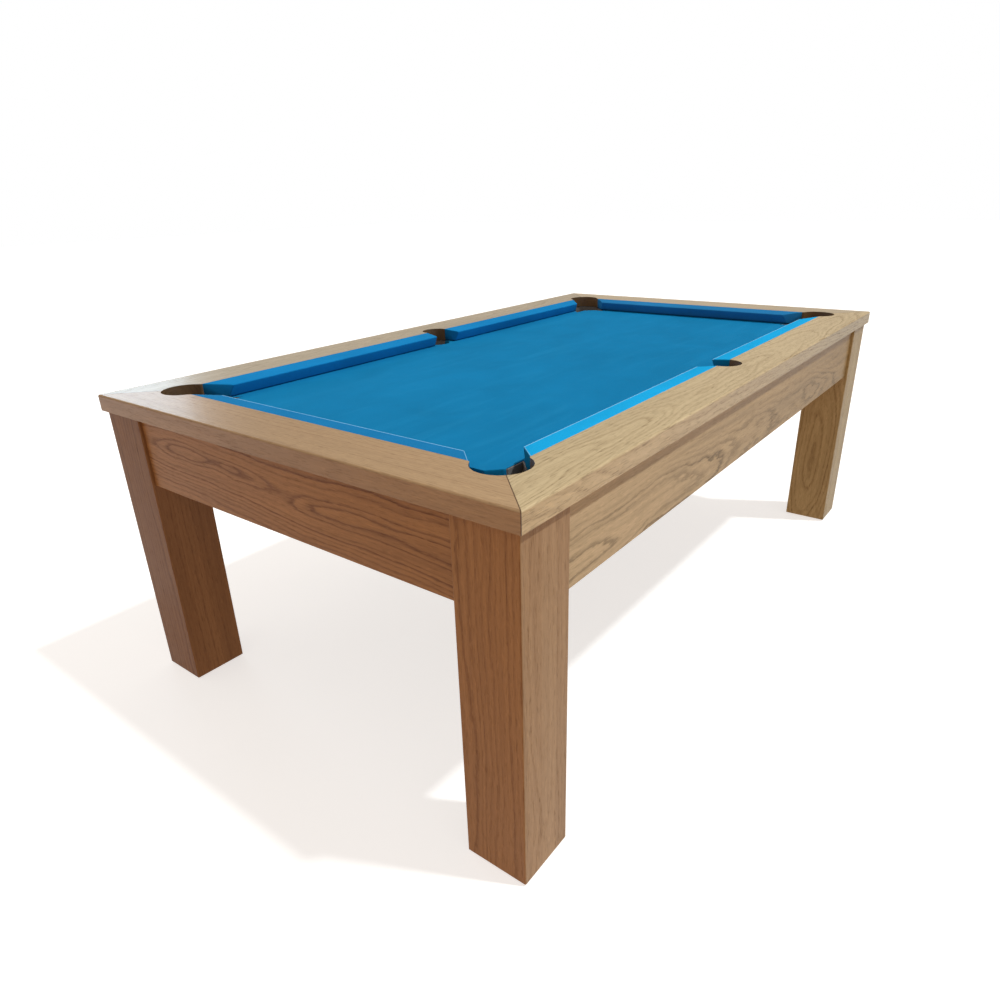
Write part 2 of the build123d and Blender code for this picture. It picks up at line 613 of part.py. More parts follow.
corner_bag = bag(CORNER_X, CORNER_Y, CORNER_POCKET_RADIUS, CORNER_BAG_BOTTOM)
for name, signs in CORNERS.items():
    save(f"pocket_liner_{name}", turned(corner_liner(), *signs))
    save(f"pocket_bag_{name}", turned(corner_bag, *signs))
side_bag = bag(0, SIDE_Y, SIDE_POCKET_RADIUS, SIDE_BAG_BOTTOM)
for name, sign in SIDES.items():
    save(f"pocket_liner_{name}", turned(side_liner(), 1, sign))
    save(f"pocket_bag_{name}", turned(side_bag, 1, sign))

save("rail_bolts", *[rail_bolt(*place) for place in rail_bolt_places()])
save("rail_bolt_washers", *[rail_bolt_washer(*place) for place in rail_bolt_places()])
save("slate_screws", *[screw(*place, 0) for place in slate_screw_places()])
leg_bolts = [leg_bolt(along_x, z) for along_x in (True, False) for z in LEG_BOLT_HEIGHTS]
save("leg_bolts", *[turned(bolt, *signs) for bolt in leg_bolts for signs in CORNERS.values()])
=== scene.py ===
import math
from functools import partialmethod

import bmesh
import bpy
from mathutils import Matrix, Vector, noise


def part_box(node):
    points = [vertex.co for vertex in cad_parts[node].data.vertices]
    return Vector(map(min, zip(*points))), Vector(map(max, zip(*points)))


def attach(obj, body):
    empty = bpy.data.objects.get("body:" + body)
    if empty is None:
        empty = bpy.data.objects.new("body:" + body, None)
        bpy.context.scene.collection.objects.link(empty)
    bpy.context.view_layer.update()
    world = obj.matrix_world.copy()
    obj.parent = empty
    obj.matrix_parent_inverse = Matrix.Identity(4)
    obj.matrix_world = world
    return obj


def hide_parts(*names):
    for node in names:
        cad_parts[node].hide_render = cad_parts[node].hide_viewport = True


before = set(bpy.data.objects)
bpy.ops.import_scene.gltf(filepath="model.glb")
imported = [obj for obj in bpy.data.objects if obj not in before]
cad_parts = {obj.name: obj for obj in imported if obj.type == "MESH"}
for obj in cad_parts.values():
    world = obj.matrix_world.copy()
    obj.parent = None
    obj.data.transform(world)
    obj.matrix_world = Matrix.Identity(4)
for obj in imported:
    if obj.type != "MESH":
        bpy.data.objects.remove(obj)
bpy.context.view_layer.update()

# Metres. X runs along the table, Y across it, Z up, and the floor is at z = 0.
CORNERS = {
    "front_left": (-1, -1),
    "front_right": (1, -1),
    "back_left": (-1, 1),
    "back_right": (1, 1),
}
SIDES = {"front": -1, "back": 1}
ENDS = {"left": -1, "right": 1}

# ---- places read from the frame ----
RAIL_LOW, RAIL_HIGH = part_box("rail_back")
END_RAIL_LOW, END_RAIL_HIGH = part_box("rail_right")
TABLE_TOP = RAIL_HIGH.z
WOOD_Y = RAIL_LOW.y
WOOD_X = END_RAIL_LOW.x
CLOTH_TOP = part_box("bed_cloth")[1].z
SLATE_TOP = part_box("slate_bed")[1].z
CUSHION_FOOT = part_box("cushion_cloth_back_right")[0].z

# ---- places that the frame holds only as shapes, as the CAD model gives them ----
CUSHION_WIDTH = 0.054
NOSE_X, NOSE_Y = WOOD_X - CUSHION_WIDTH, WOOD_Y - CUSHION_WIDTH
NOSE_DROP = 0.0065
NOSE_Z = TABLE_TOP - NOSE_DROP
NOSE_RISE = NOSE_DROP / CUSHION_WIDTH
NOSE_UNDERCUT = 0.014
CLOTH_TURN_UNDER = 0.046
CORNER_MOUTH = 0.078
SIDE_NOSE = 0.055
SIDE_LEAN = 0.010
THROAT_STEP = 0.0105
THROAT_X, THROAT_Y = NOSE_X - THROAT_STEP, NOSE_Y - THROAT_STEP
THROAT_RUN = 0.0825
THROAT_CHAMFER = 0.0305
SIDE_SETBACK = 0.0025
SIDE_Y = WOOD_Y + SIDE_SETBACK
SIDE_HOLE = 0.050
CORNER_INSET = 0.020
# Middles of the pocket cuts in the rails, each with a reach that takes in the cut's wall.
POCKET_CUTS = (
    ((WOOD_X - CORNER_INSET, WOOD_Y - CORNER_INSET, 0.0), 0.069),
    ((0.0, SIDE_Y, 0.0), 0.051),
)

# ---- soft pieces and fine details ----
CLOTH_SKIN = 0.0009
# How far a flap hangs past the slate's edge, and how deep.
FLAP_REACH = 0.0031
FLAP_DEPTH = 0.0215
FLAP_ROUND = 0.006
FLAP_RIPPLE = 0.0004
# How far out and down the cloth lies at each step of its bend over the slate's edge.
FLAP_BEND = ((0.0004, 0.0001), (0.0008, 0.0004), (0.0011, 0.0010))
EDGE_RING = 0.0025
SAME_PLACE = 1e-6
WEAVE_PITCH = 0.0009
FOLD_WIDTH = 0.0016
BAG_WALL = 0.0016
BAG_TAPER = 0.010
BAG_HEM = 0.0140
BAG_BOTTOM_ROUND = 0.016
BAG_SAG = 0.0014
BROAD_FOLD, NARROW_FOLD, BAG_CREASE = 0.0016, 0.0011, 0.0012
BAG_SEAM, BAG_SEAM_SPREAD = 0.0009, 0.05
STITCH_RINGS = (0.0032, 0.0088)
STITCH_COUNT = 44
STITCH_RADIUS = 0.00035
STITCH_LIFT, STITCH_ARCH = 0.0003, 0.0004
# How much of its pitch each stitch covers.
STITCH_SHARE = 0.62
VENEER_PAIR = 0.0044
PLAIN_REACH = 0.1

# ---- wood tones ----
PLAIN = (1.0, 1.0, 1.0)
FRONT_RAIL_LIGHT, FRONT_RAIL_DARK = (0.56, 0.445, 0.262), (0.31, 0.215, 0.105)
# The back rail's greyer tone is partly a painted reflection of the sky on its top.
BACK_RAIL_LIGHT, BACK_RAIL_DARK = (0.42, 0.36, 0.265), (0.28, 0.225, 0.155)
# Painted shade on the long rails below the arris, which shows as their outer face, darker towards the far
# end.
RAIL_EDGE_SHADE_NEAR, RAIL_EDGE_SHADE_FAR = (1.03, 0.97, 0.92), (0.52, 0.47, 0.27)
# A painted highlight on the long rails' rounded top edge, strongest at the near end and gone at the far end.
ARRIS_HIGHLIGHT_NEAR, ARRIS_HIGHLIGHT_FAR = (1.14, 1.17, 1.25), PLAIN
ARRIS_TOP, ARRIS_FOOT = TABLE_TOP - 0.0004, TABLE_TOP - 0.0035
NEAR_END_LIGHT, NEAR_END_DARK = (0.385, 0.25, 0.13), (0.26, 0.15, 0.07)
# Painted shade, darker and redder, on the near end rail below the arris, which shows as its outer face.
NEAR_END_EDGE_SHADE = (0.98, 0.82, 0.62)
# Painted light falloff on the near end rail, lighter at the front and darker towards the middle.
NEAR_END_LIT_FRONT, NEAR_END_SHADED_MIDDLE = (1.10, 1.12, 1.15), (0.94, 0.92, 0.88)
# The far end rail's greyer tone is partly a painted reflection of the sky on its top.
FAR_END_LIGHT, FAR_END_DARK = (0.48, 0.40, 0.28), (0.34, 0.26, 0.17)
LONG_APRON_LIGHT, LONG_APRON_DARK = (0.575, 0.43, 0.262), (0.185, 0.128, 0.066)
# Painted light falloff on the long aprons, darker towards the far end.
LONG_APRON_LIT_NEAR, LONG_APRON_SHADED_FAR = (0.98, 0.99, 1.0), (0.56, 0.48, 0.28)
# The end aprons' darker, redder tone is partly painted shade of the table's end faces, which face away from
# the key light.
END_APRON_LIGHT, END_APRON_DARK = (0.445, 0.22, 0.088), (0.18, 0.068, 0.024)
LEG_LIGHT, LEG_DARK = (0.47, 0.295, 0.165), (0.27, 0.145, 0.068)
LEG_STAVE = 0.047
# Painted shade on the rails' walls inside the pocket cuts, and the height below which it lies.
POCKET_WALL = (0.34, 0.24, 0.16)
POCKET_WALL_TOP = TABLE_TOP - 0.0008
# Width of the painted shade along the mitre joints, which stands in for the shadow in the eased joint.
MITRE_LINE = 0.004
# Each leg's pith place, how fast the pith sinks above and below OVAL_HEIGHT, which draws closed ovals, and
# the painted light and shade on the boards that face along the table and across it: the back left leg is
# darkened as painted shadow of the table, the front right leg's end-facing boards are lightened, and the
# other end-facing boards are darker and redder.
LEG_LOOKS = {
    "front_left": ((0.085, 0.05), 0.0, (0.91, 0.71, 0.49), (0.92, 0.94, 0.93)),
    "front_right": ((0.004, 0.020), 0.42, (1.24, 1.53, 1.50), (0.78, 0.94, 0.83)),
    "back_left": ((-0.08, 0.05), 0.0, (0.54, 0.34, 0.12), (0.67, 0.55, 0.43)),
    "back_right": ((0.07, 0.06), 0.0, (0.92, 0.76, 0.60), (1.0, 0.98, 0.95)),
}
OVAL_HEIGHT = 0.27

# ---- cloth tones, each as the weave and its nap ----
BED_TONES = (0.0045, 0.163, 0.365), (0.008, 0.216, 0.46)
# The rails' cushion tones differ as painted light: the front covers' much paler tone is a painted sheen, the
# others are set to how light falls on each rail.
CUSHION_TONES = {
    "front": ((0.005, 0.34, 0.73), (0.014, 0.44, 0.85)),
    "back": ((0.005, 0.175, 0.45), (0.011, 0.243, 0.57)),
    "left": ((0.006, 0.155, 0.38), (0.014, 0.212, 0.49)),
    "right": ((0.013, 0.155, 0.38), (0.024, 0.21, 0.48)),
}
NOSE_BAND = 0.0022
# Height of the band of painted shade at a cushion's foot.
FOOT_SHADE_BAND = 0.01
# Width of the painted shade on a cushion's end faces, and how far the ends sit in.
END_SHADE_BAND, END_SET_IN = 0.0032, 0.001
# A painted highlight along the cushion noses: how far it lies from the nose, its width, its reach round the
# ends, its colour.
NOSE_HIGHLIGHT_DEPTH, NOSE_HIGHLIGHT_WIDTH, NOSE_HIGHLIGHT_END = 0.0036, 0.004, 0.0013
NOSE_HIGHLIGHT_COLOR = (0.36, 0.70, 1.0)

# ---- camera and light ----
EYE = Vector((-1.8588, -1.1944, 1.2056))
HEADING = math.radians(37.776)
TILT = math.radians(23.734)
ROLL = math.radians(-1.588)
SENSOR = 36.0
LENS = 0.7144 * SENSOR
SHIFT = (-0.0018, 0.0118)
KEY_PLACE, KEY_TARGET = (1.4, -2.7, 6.0), (0.0, 0.0, 0.75)
KEY_POWER = 2.15
KEY_COLOR = (0.95, 1.0, 1.0)
KEY_ANGLE = math.radians(3.0)
WINDOW_PLACE, WINDOW_TARGET = (0.35, 4.2, 1.8), (-0.9, 0.5, 0.8)
WINDOW_SIZE = (1.3, 0.9)
WINDOW_POWER = 17.0
WINDOW_COLOR = (0.74, 0.95, 1.14)
FLOOR_GLOW = 0.66
FLOOR_HALF = 30.0
SKY_ABOVE = (0.55, 0.48, 0.42)
GLOW_BELOW = (0.45, 0.275, 0.14)
HORIZON = (0.42, 0.58)


# ---------------------------------------------------------------- small helpers
class Graph:
    """A material's node tree, with one short call for each kind of node used here."""

    def __init__(self, name):
        self.material = bpy.data.materials.new(name)
        self.material.use_nodes = True
        self.tree = self.material.node_tree
        self.tree.nodes.clear()
        self.position = self.node("TexCoord").outputs["Object"]

    def node(self, kind, **settings):
        made = self.tree.nodes.new("ShaderNode" + kind)
        for key, value in settings.items():
            setattr(made, key, value)
        return made

    def feed(self, socket, value):
        if isinstance(value, bpy.types.NodeSocket):
            self.tree.links.new(value, socket)
        elif value is not None:
            socket.default_value = value

    def math(self, operation, *values):
        made = self.node("Math", operation=operation)
        for socket, value in zip(made.inputs, values):
            self.feed(socket, value)
        return made.outputs[0]

    times = partialmethod(math, "MULTIPLY")
    plus = partialmethod(math, "ADD")
    minus = partialmethod(math, "SUBTRACT")
    times_plus = partialmethod(math, "MULTIPLY_ADD")
    divide = partialmethod(math, "DIVIDE")
    absolute = partialmethod(math, "ABSOLUTE")
    less = partialmethod(math, "LESS_THAN")
    more = partialmethod(math, "GREATER_THAN")

    def split(self, vector):
        made = self.node("SeparateXYZ")
        self.feed(made.inputs[0], vector)
        return tuple(made.outputs)

    def join(self, *values):
        made = self.node("CombineXYZ")
        for socket, value in zip(made.inputs, values):
            self.feed(socket, value)
        return made.outputs[0]

    def noise(self, vector, scale, detail=2.0, roughness=0.5, distortion=0.0):
        made = self.node("TexNoise", noise_dimensions="3D")
        self.feed(made.inputs["Vector"], vector)
        made.inputs["Scale"].default_value = scale
        made.inputs["Detail"].default_value = detail
        made.inputs["Roughness"].default_value = roughness
        made.inputs["Distortion"].default_value = distortion
        return made.outputs["Fac"]

    def streaks(self, vector, factors, detail, roughness=0.5, distortion=0.0, shift=(0, 0, 0)):
        """Noise with its own number of waves per metre along each axis."""
        made = self.node("Mapping")
        self.feed(made.inputs["Vector"], vector)
        made.inputs["Scale"].default_value = factors
        made.inputs["Location"].default_value = shift
        return self.noise(made.outputs[0], 1.0, detail, roughness, distortion)

    def ramp(self, value, *stops):
        made = self.node("ValToRGB")
        self.feed(made.inputs[0], value)
        elements = made.color_ramp.elements
        while len(elements) < len(stops):
            elements.new(0.5)
        for element, (place, shade) in zip(elements, stops):
            element.position = place
            element.color = (*shade, 1.0) if isinstance(shade, tuple) else (shade, shade, shade, 1.0)
        return made.outputs["Color"]

    def mix(self, factor, a, b, blend="MIX"):
        made = self.node("Mix", data_type="RGBA", blend_type=blend)
        self.feed(made.inputs[0], factor)
        for socket, value in ((made.inputs[6], a), (made.inputs[7], b)):
            self.feed(socket, (*value, 1.0) if isinstance(value, tuple) else value)
        return made.outputs[2]

    def shade(self, color, tone):
        return self.mix(1.0, color, tone, "MULTIPLY")

    def bump(self, height, distance, strength):
        made = self.node("Bump")
        made.inputs["Strength"].default_value = strength
        made.inputs["Distance"].default_value = distance
        self.feed(made.inputs["Height"], height)
        return made.outputs["Normal"]

    def finish(self, color, roughness, normal=None, **constants):
        """Ends the tree in a Principled shader. Constants go straight on its sockets."""
        shader = self.node("BsdfPrincipled")
        self.feed(shader.inputs["Base Color"], color)
        self.feed(shader.inputs["Roughness"], roughness)
        self.feed(shader.inputs["Normal"], normal)
        for key, value in constants.items():
            shader.inputs[key.replace("_", " ")].default_value = value
        out = self.node("OutputMaterial")
        self.tree.links.new(shader.outputs[0], out.inputs["Surface"])
        return self.material


def paint(obj, material):
    """Gives an object one material."""
    obj.data.materials.clear()
    obj.data.materials.append(material)
    for polygon in obj.data.polygons:
        polygon.material_index = 0


def new_piece(name, mesh, material, body, slot, *replaced):
    """Makes an object of a mesh, riding on a CAD body, and hides the CAD nodes that it replaces."""
    piece = bpy.data.objects.new(name, mesh)
    bpy.context.scene.collection.objects.link(piece)
    paint(piece, material)
    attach(piece, body)
    if replaced:
        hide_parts(*replaced)
    return piece


# ---------------------------------------------------------------- materials
def board_axes(graph, along, centre, face):
    """Coordinates in a board: along its grain, across its face from its centre line, and behind its face.

    centre is the middle of the face across the grain, and face is where the face lies, in the same way."""
    x, y, z = graph.split(graph.position)
    far_x, far_y = graph.absolute(x), graph.absolute(y)
    along_axis, across, behind = {
        "rail_X": (x, far_y, z),
        "rail_Y": (y, far_x, z),
        "apron_X": (x, z, far_y),
        "apron_Y": (y, z, far_x),
    }[along]
    return along_axis, graph.minus(across, centre), graph.minus(face, behind)


def leg_axes(graph, low, high):
    """The same for a leg's four boards, which meet in mitres, so each shows its own face.

    The last three are which way the board faces, then 1 on the boards that face along the table, and 1 on
    those that face across it."""
    x, y, z = graph.split(graph.position)
    off_x = graph.minus(x, (low.x + high.x) / 2)
    off_y = graph.minus(y, (low.y + high.y) / 2)
    size_x, size_y = graph.absolute(off_x), graph.absolute(off_y)
    faces_x = graph.more(size_x, size_y)
    faces_y = graph.minus(1.0, faces_x)
    across = graph.plus(graph.times(off_y, faces_x), graph.times(off_x, faces_y))
    outward = graph.plus(graph.times(off_x, faces_x), graph.times(off_y, faces_y))
    behind = graph.minus((high.x - low.x) / 2, graph.math("MAXIMUM", size_x, size_y))
    return z, across, behind, graph.math("SIGN", outward), faces_x, faces_y


def oak(
    graph, axes, light, dark, heart, spacing, wave, shift, contrast, tone=None, lean=(0.0, 0.0), plain=0.0,
    pores=0.6, coat=0.03, jagged=0.55,
):
    """Lacquered oak cut from growth rings round a pith line.

    heart is where the pith runs, across the board and behind its face, lean how far it drifts per metre of
    the board's length, and wave how far it wanders. These open the rings, which lie at their spacing, into
    cathedral arches. shift moves the grain along the board, so that no two boards match. tone multiplies the
    wood's colour, plain is how much the figure fades away from the pith, and jagged how many rings the
    lines' teeth span."""
    a, b, c = axes
    a = graph.plus(a, shift)
    grain = graph.join(a, b, c)

    slow = graph.streaks(grain, (2.4, 6.0, 6.0), 2.0, 0.45)
    other = graph.streaks(grain, (3.1, 7.0, 7.0), 2.0, 0.45, shift=(7.3, 1.9, 4.1))
    ragged = graph.streaks(grain, (22.0, 90.0, 90.0), 3.0, 0.6)
    uneven = graph.streaks(grain, (1.2, 22.0, 22.0), 1.0, shift=(2.0, 5.0, 9.0))
    wave_b = graph.times(graph.minus(slow, 0.5), 4 * wave[0])
    wave_c = graph.times(graph.minus(other, 0.5), 4 * wave[1])
    from_heart = graph.minus(b, heart[0])
    across = graph.plus(graph.times_plus(a, -lean[0], wave_b), from_heart)
    behind = graph.plus(graph.times_plus(a, -lean[1], wave_c), graph.minus(c, heart[1]))
    squares = graph.plus(graph.times(across, across), graph.times(behind, behind))
    rings = graph.divide(graph.math("SQRT", squares), spacing)
    rings = graph.times_plus(ragged, jagged, rings)
    rings = graph.times_plus(uneven, 1.6, rings)
    through = graph.math("FRACT", rings)
    early = graph.ramp(through, (0.0, 0.0), (0.32, 0.12), (0.47, 1.0), (0.56, 0.9), (0.80, 0.28), (1.0, 0.0))
    year = graph.node("TexWhiteNoise", noise_dimensions="1D")
    graph.feed(year.inputs["W"], graph.math("FLOOR", rings))
    strength = graph.math("POWER", year.outputs["Value"], 1.6)
    early = graph.times(early, graph.times_plus(strength, 0.85, 0.15))
    if plain:
        away = graph.divide(graph.absolute(from_heart), PLAIN_REACH)
        early = graph.times(early, graph.ramp(away, (0.35, 1.0), (0.9, 1 - plain)))

    dashes = graph.streaks(grain, (34.0, 360.0, 360.0), 2.0, 0.6, shift=(9.0, 2.0, 5.0))
    dashes = graph.ramp(dashes, (0.53, 0.0), (0.64, 1.0))
    dashes = graph.times(dashes, graph.times_plus(early, 0.6, 0.4))
    flecks = graph.streaks(grain, (45.0, 210.0, 210.0), 1.5, 0.5, shift=(3.0, 8.0, 1.0))
    flecks = graph.ramp(flecks, (0.58, 0.0), (0.72, 1.0))
    drift = graph.streaks(grain, (1.3, 8.0, 8.0), 3.0, 0.55, shift=(5.0, 2.0, 6.0))
    streak = graph.streaks(grain, (1.8, 60.0, 60.0), 3.0, 0.6, shift=(1.0, 4.0, 8.0))

    color = graph.mix(graph.times(early, contrast), light, dark)
    color = graph.mix(graph.ramp(streak, (0.40, 0.0), (0.72, 0.38)), color, dark)
    color = graph.mix(graph.times(dashes, pores), color, tuple(0.62 * v for v in dark))
    color = graph.mix(graph.times(flecks, 0.28), color, tuple(min(1.0, 1.35 * v) for v in light))
    tint = graph.ramp(drift, (0.28, (0.93, 0.92, 0.90)), (0.72, (1.06, 1.05, 1.03)))
    color = graph.shade(color, tint)
    if tone is not None:
        color = graph.shade(color, tone)

    rough = graph.times_plus(dashes, 0.16, graph.times_plus(early, 0.06, 0.40))
    depth = graph.times_plus(early, -0.25, graph.times(dashes, -0.9))
    return graph.finish(
        color, rough, graph.bump(depth, 0.0003, 0.5),
        Coat_Weight=coat, Coat_Roughness=0.22, Specular_IOR_Level=0.1 + coat,
    )


def cloth(name, base, nap, streaks=0.0, rail=None, nose_highlight=False, ends=1.0):
    """Napped wool: brushed fibres over a fine crossed weave, with faint smudges from play.

    rail is the axis across a cushion's rail. Such a cloth is darkened with painted shade where it turns
    under the cushion, ends is how much colour the slanting end faces keep under a painted shade, and the
    nose flag adds a painted highlight, a pale stripe along the nose."""
    graph = Graph(name)
    x, y, z = graph.split(graph.position)
    fibres = graph.streaks(graph.position, (900.0, 2300.0, 1500.0), 2.0, 0.7)
    patch = graph.streaks(graph.position, (5.0, 7.0, 6.0), 4.0, 0.55, 0.4, shift=(4.0, 1.0, 2.0))
    brushed = graph.streaks(graph.position, (2.2, 16.0, 20.0), 4.0, 0.62, 1.2, shift=(0.5, 3.0, 1.0))
    color = graph.mix(graph.ramp(fibres, (0.30, 0.0), (0.72, 1.0)), base, nap)
    color = graph.shade(color, graph.ramp(patch, (0.30, 0.93), (0.70, 1.07)))
    if streaks:
        pale = tuple(v + add for v, add in zip(nap, (0.012, 0.055, 0.07)))
        color = graph.mix(graph.times(graph.ramp(brushed, (0.54, 0.0), (0.74, 1.0)), streaks), color, pale)
    if rail:
        # Painted shade along the foot of the cover, where it turns under the cushion against the bed.
        lift = graph.divide(graph.minus(z, CUSHION_FOOT), FOOT_SHADE_BAND)
        color = graph.shade(color, graph.ramp(lift, (0.12, (0.22, 0.25, 0.30)), (0.38, PLAIN)))
        far_x, far_y = graph.absolute(x), graph.absolute(y)
        across, along, nose, tip = far_y, far_x, NOSE_Y, NOSE_X
        if rail == "X":
            across, along, nose, tip = far_x, far_y, NOSE_X, NOSE_Y
        depth = graph.minus(across, nose)
        corner_end = graph.minus(graph.minus(along, depth), tip - CORNER_MOUTH - END_SET_IN)
        corner_end = graph.absolute(corner_end)
        side_end = graph.times_plus(depth, SIDE_LEAN / CUSHION_WIDTH, graph.minus(along, SIDE_NOSE))
        nearest = graph.math("MINIMUM", corner_end, graph.absolute(side_end))
        above = graph.more(z, graph.times_plus(depth, NOSE_RISE, NOSE_Z - NOSE_BAND))
        # Painted shade on the slanting end faces below the nose; ends is how much colour they keep.
        shaded_end = graph.times(graph.less(nearest, END_SHADE_BAND), graph.minus(1.0, above))
        color = graph.mix(graph.times(shaded_end, 1.0 - ends), color, (0.0, 0.0, 0.0))
    # A painted highlight: a pale stripe along the nose, where the rounded nose catches the light.
    if nose_highlight:
        off = graph.absolute(graph.minus(depth, NOSE_HIGHLIGHT_DEPTH))
        off = graph.math("MINIMUM", off, graph.times_plus(corner_end, 0.9, NOSE_HIGHLIGHT_END))
        rub = graph.times(graph.ramp(graph.divide(off, NOSE_HIGHLIGHT_WIDTH), (0.3, 1.0), (0.62, 0.0)), above)
        color = graph.mix(graph.times(rub, 0.75), color, NOSE_HIGHLIGHT_COLOR)
    warp = graph.math("SINE", graph.times(graph.plus(x, z), 2 * math.pi / WEAVE_PITCH))
    weft = graph.math("SINE", graph.times(graph.plus(y, z), 2 * math.pi / WEAVE_PITCH))
    weave = graph.times_plus(graph.times(warp, weft), 0.35, fibres)
    return graph.finish(
        color, 0.9, graph.bump(weave, 0.00025, 0.5), Specular_IOR_Level=0.03,
        Sheen_Weight=0.04, Sheen_Roughness=0.45, Sheen_Tint=(0.0, 0.6, 1.0, 1.0),
    )


def timber(name, light, dark, along, bands, ply=False):
    """Plain planed timber, or plywood with its veneers showing on the edge."""
    graph = Graph(name)
    x, y, z = graph.split(graph.position)
    a, b, c = {"X": (x, y, z), "Y": (y, x, z), "Z": (z, x, y)}[along]
    grain = graph.join(a, b, c)
    streak = graph.streaks(grain, (2.5, bands, bands), 4.0, 0.6, 0.5)
    fine = graph.streaks(grain, (20.0, 800.0, 800.0), 2.0, 0.6)
    color = graph.mix(graph.ramp(streak, (0.38, 0.0), (0.62, 1.0)), light, dark)
    if ply:
        veneer = graph.math("FRACT", graph.times(graph.plus(x, y), 1 / VENEER_PAIR))
        color = graph.shade(color, graph.ramp(veneer, (0.45, 1.0), (0.5, 0.82)))
    color = graph.mix(graph.times(fine, 0.3), color, dark)
    return graph.finish(color, 0.7, graph.bump(fine, 0.0002, 0.4))


def slate(name):
    """Honed slate with faint clouding."""
    graph = Graph(name)
    cloud = graph.noise(graph.position, 6.0, 6.0, 0.6, 0.6)
    grit = graph.noise(graph.position, 900.0, 3.0, 0.7)
    color = graph.ramp(cloud, (0.3, (0.055, 0.06, 0.066)), (0.7, (0.10, 0.105, 0.112)))
    color = graph.mix(graph.times(grit, 0.25), color, (0.16, 0.165, 0.17))
    return graph.finish(color, 0.6, graph.bump(grit, 0.0003, 0.3))


def rubber(name):
    """Gum rubber with a matt moulded skin."""
    graph = Graph(name)
    grain = graph.noise(graph.position, 700.0, 3.0, 0.6)
    color = graph.mix(grain, (0.20, 0.11, 0.05), (0.32, 0.19, 0.10))
    return graph.finish(color, 0.72, graph.bump(grain, 0.0002, 0.5))


def plastic(name, shade):
    """Moulded plastic with a fine spark-eroded texture and paler scuffs."""
    graph = Graph(name)
    texture = graph.noise(graph.position, 1400.0, 2.0, 0.6)
    scuff = graph.streaks(graph.position, (40.0, 40.0, 260.0), 4.0, 0.7, 1.0)
    worn = tuple(min(1.0, 1.5 * v) for v in shade)
    color = graph.mix(graph.ramp(scuff, (0.55, 0.0), (0.75, 0.5)), shade, worn)
    rough = graph.times_plus(scuff, 0.2, 0.42)
    return graph.finish(color, rough, graph.bump(texture, 0.00015, 0.5))


def leather(name):
    """Black grained leather with creases and dry, paler ridges."""
    graph = Graph(name)
    cells = graph.node("TexVoronoi", feature="DISTANCE_TO_EDGE")
    cells.inputs["Scale"].default_value = 420.0
    graph.feed(cells.inputs["Vector"], graph.position)
    pebble = graph.ramp(cells.outputs["Distance"], (0.0, 0.0), (0.12, 1.0))
    crease = graph.streaks(graph.position, (30.0, 30.0, 60.0), 5.0, 0.65, 1.2)
    dry = graph.ramp(crease, (0.45, 0.0), (0.8, 1.0))
    color = graph.mix(dry, (0.012, 0.011, 0.010), (0.045, 0.040, 0.036))
    height = graph.times_plus(crease, 0.8, pebble)
    rough = graph.times_plus(crease, 0.25, 0.38)
    return graph.finish(color, rough, graph.bump(height, 0.0004, 0.6), Specular_IOR_Level=0.45)


def thread(name):
    """Waxed linen thread, twisted."""
    graph = Graph(name)
    twist = graph.noise(graph.position, 2600.0, 2.0, 0.6)
    color = graph.mix(twist, (0.36, 0.31, 0.23), (0.55, 0.49, 0.38))
    return graph.finish(color, 0.6, graph.bump(twist, 0.0001, 0.6))


def zinc(name):
    """Bright zinc plating with faint drawing marks and dulled patches."""
    graph = Graph(name)
    brushed = graph.streaks(graph.position, (90.0, 90.0, 1800.0), 2.0, 0.6)
    dull = graph.noise(graph.position, 160.0, 4.0, 0.6)
    color = graph.mix(graph.ramp(dull, (0.35, 0.0), (0.7, 1.0)), (0.62, 0.63, 0.64), (0.42, 0.43, 0.42))
    rough = graph.times_plus(dull, 0.3, 0.18)
    return graph.finish(color, rough, graph.bump(brushed, 0.0001, 0.4), Metallic=1.0)


def floor_material(name):
    """A plain pale floor with the faintest mottling."""
    graph = Graph(name)
    mottle = graph.noise(graph.position, 3.0, 3.0, 0.5)
    color = graph.ramp(mottle, (0.3, (0.56, 0.55, 0.54)), (0.7, (0.58, 0.57, 0.56)))
    return graph.finish(
        color, 0.85, Specular_IOR_Level=0.15,
        Emission_Color=(1.0, 0.985, 0.97, 1.0), Emission_Strength=FLOOR_GLOW,
    )


# ---------------------------------------------------------------- studio
def make_camera():
    """A camera turned and tilted from level, and then rolled."""
    flat = math.cos(TILT)
    forward = Vector((flat * math.cos(HEADING), flat * math.sin(HEADING), -math.sin(TILT)))
    level = Vector((math.sin(HEADING), -math.cos(HEADING), 0.0))
    lift = level.cross(forward)
    right = level * math.cos(ROLL) + lift * math.sin(ROLL)
    up = right.cross(forward)
    data = bpy.data.cameras.new("camera")
    data.sensor_width = SENSOR
    data.lens = LENS
    data.shift_x, data.shift_y = SHIFT
    camera = bpy.data.objects.new("camera", data)
    camera.matrix_world = Matrix.Translation(EYE) @ Matrix((right, up, -forward)).transposed().to_4x4()
    bpy.context.scene.collection.objects.link(camera)
    bpy.context.scene.camera = camera


def make_light(name, kind, place, target, power, color, **settings):
    """A light at a place, pointed at a target."""
    data = bpy.data.lights.new(name, kind)
    data.energy = power
    data.color = color
    for key, value in settings.items():
        setattr(data, key, value)
    light = bpy.data.objects.new(name, data)
    light.location = place
    light.rotation_mode = "QUATERNION"
    light.rotation_quaternion = (Vector(target) - Vector(place)).to_track_quat("-Z", "Y")
    bpy.context.scene.collection.objects.link(light)


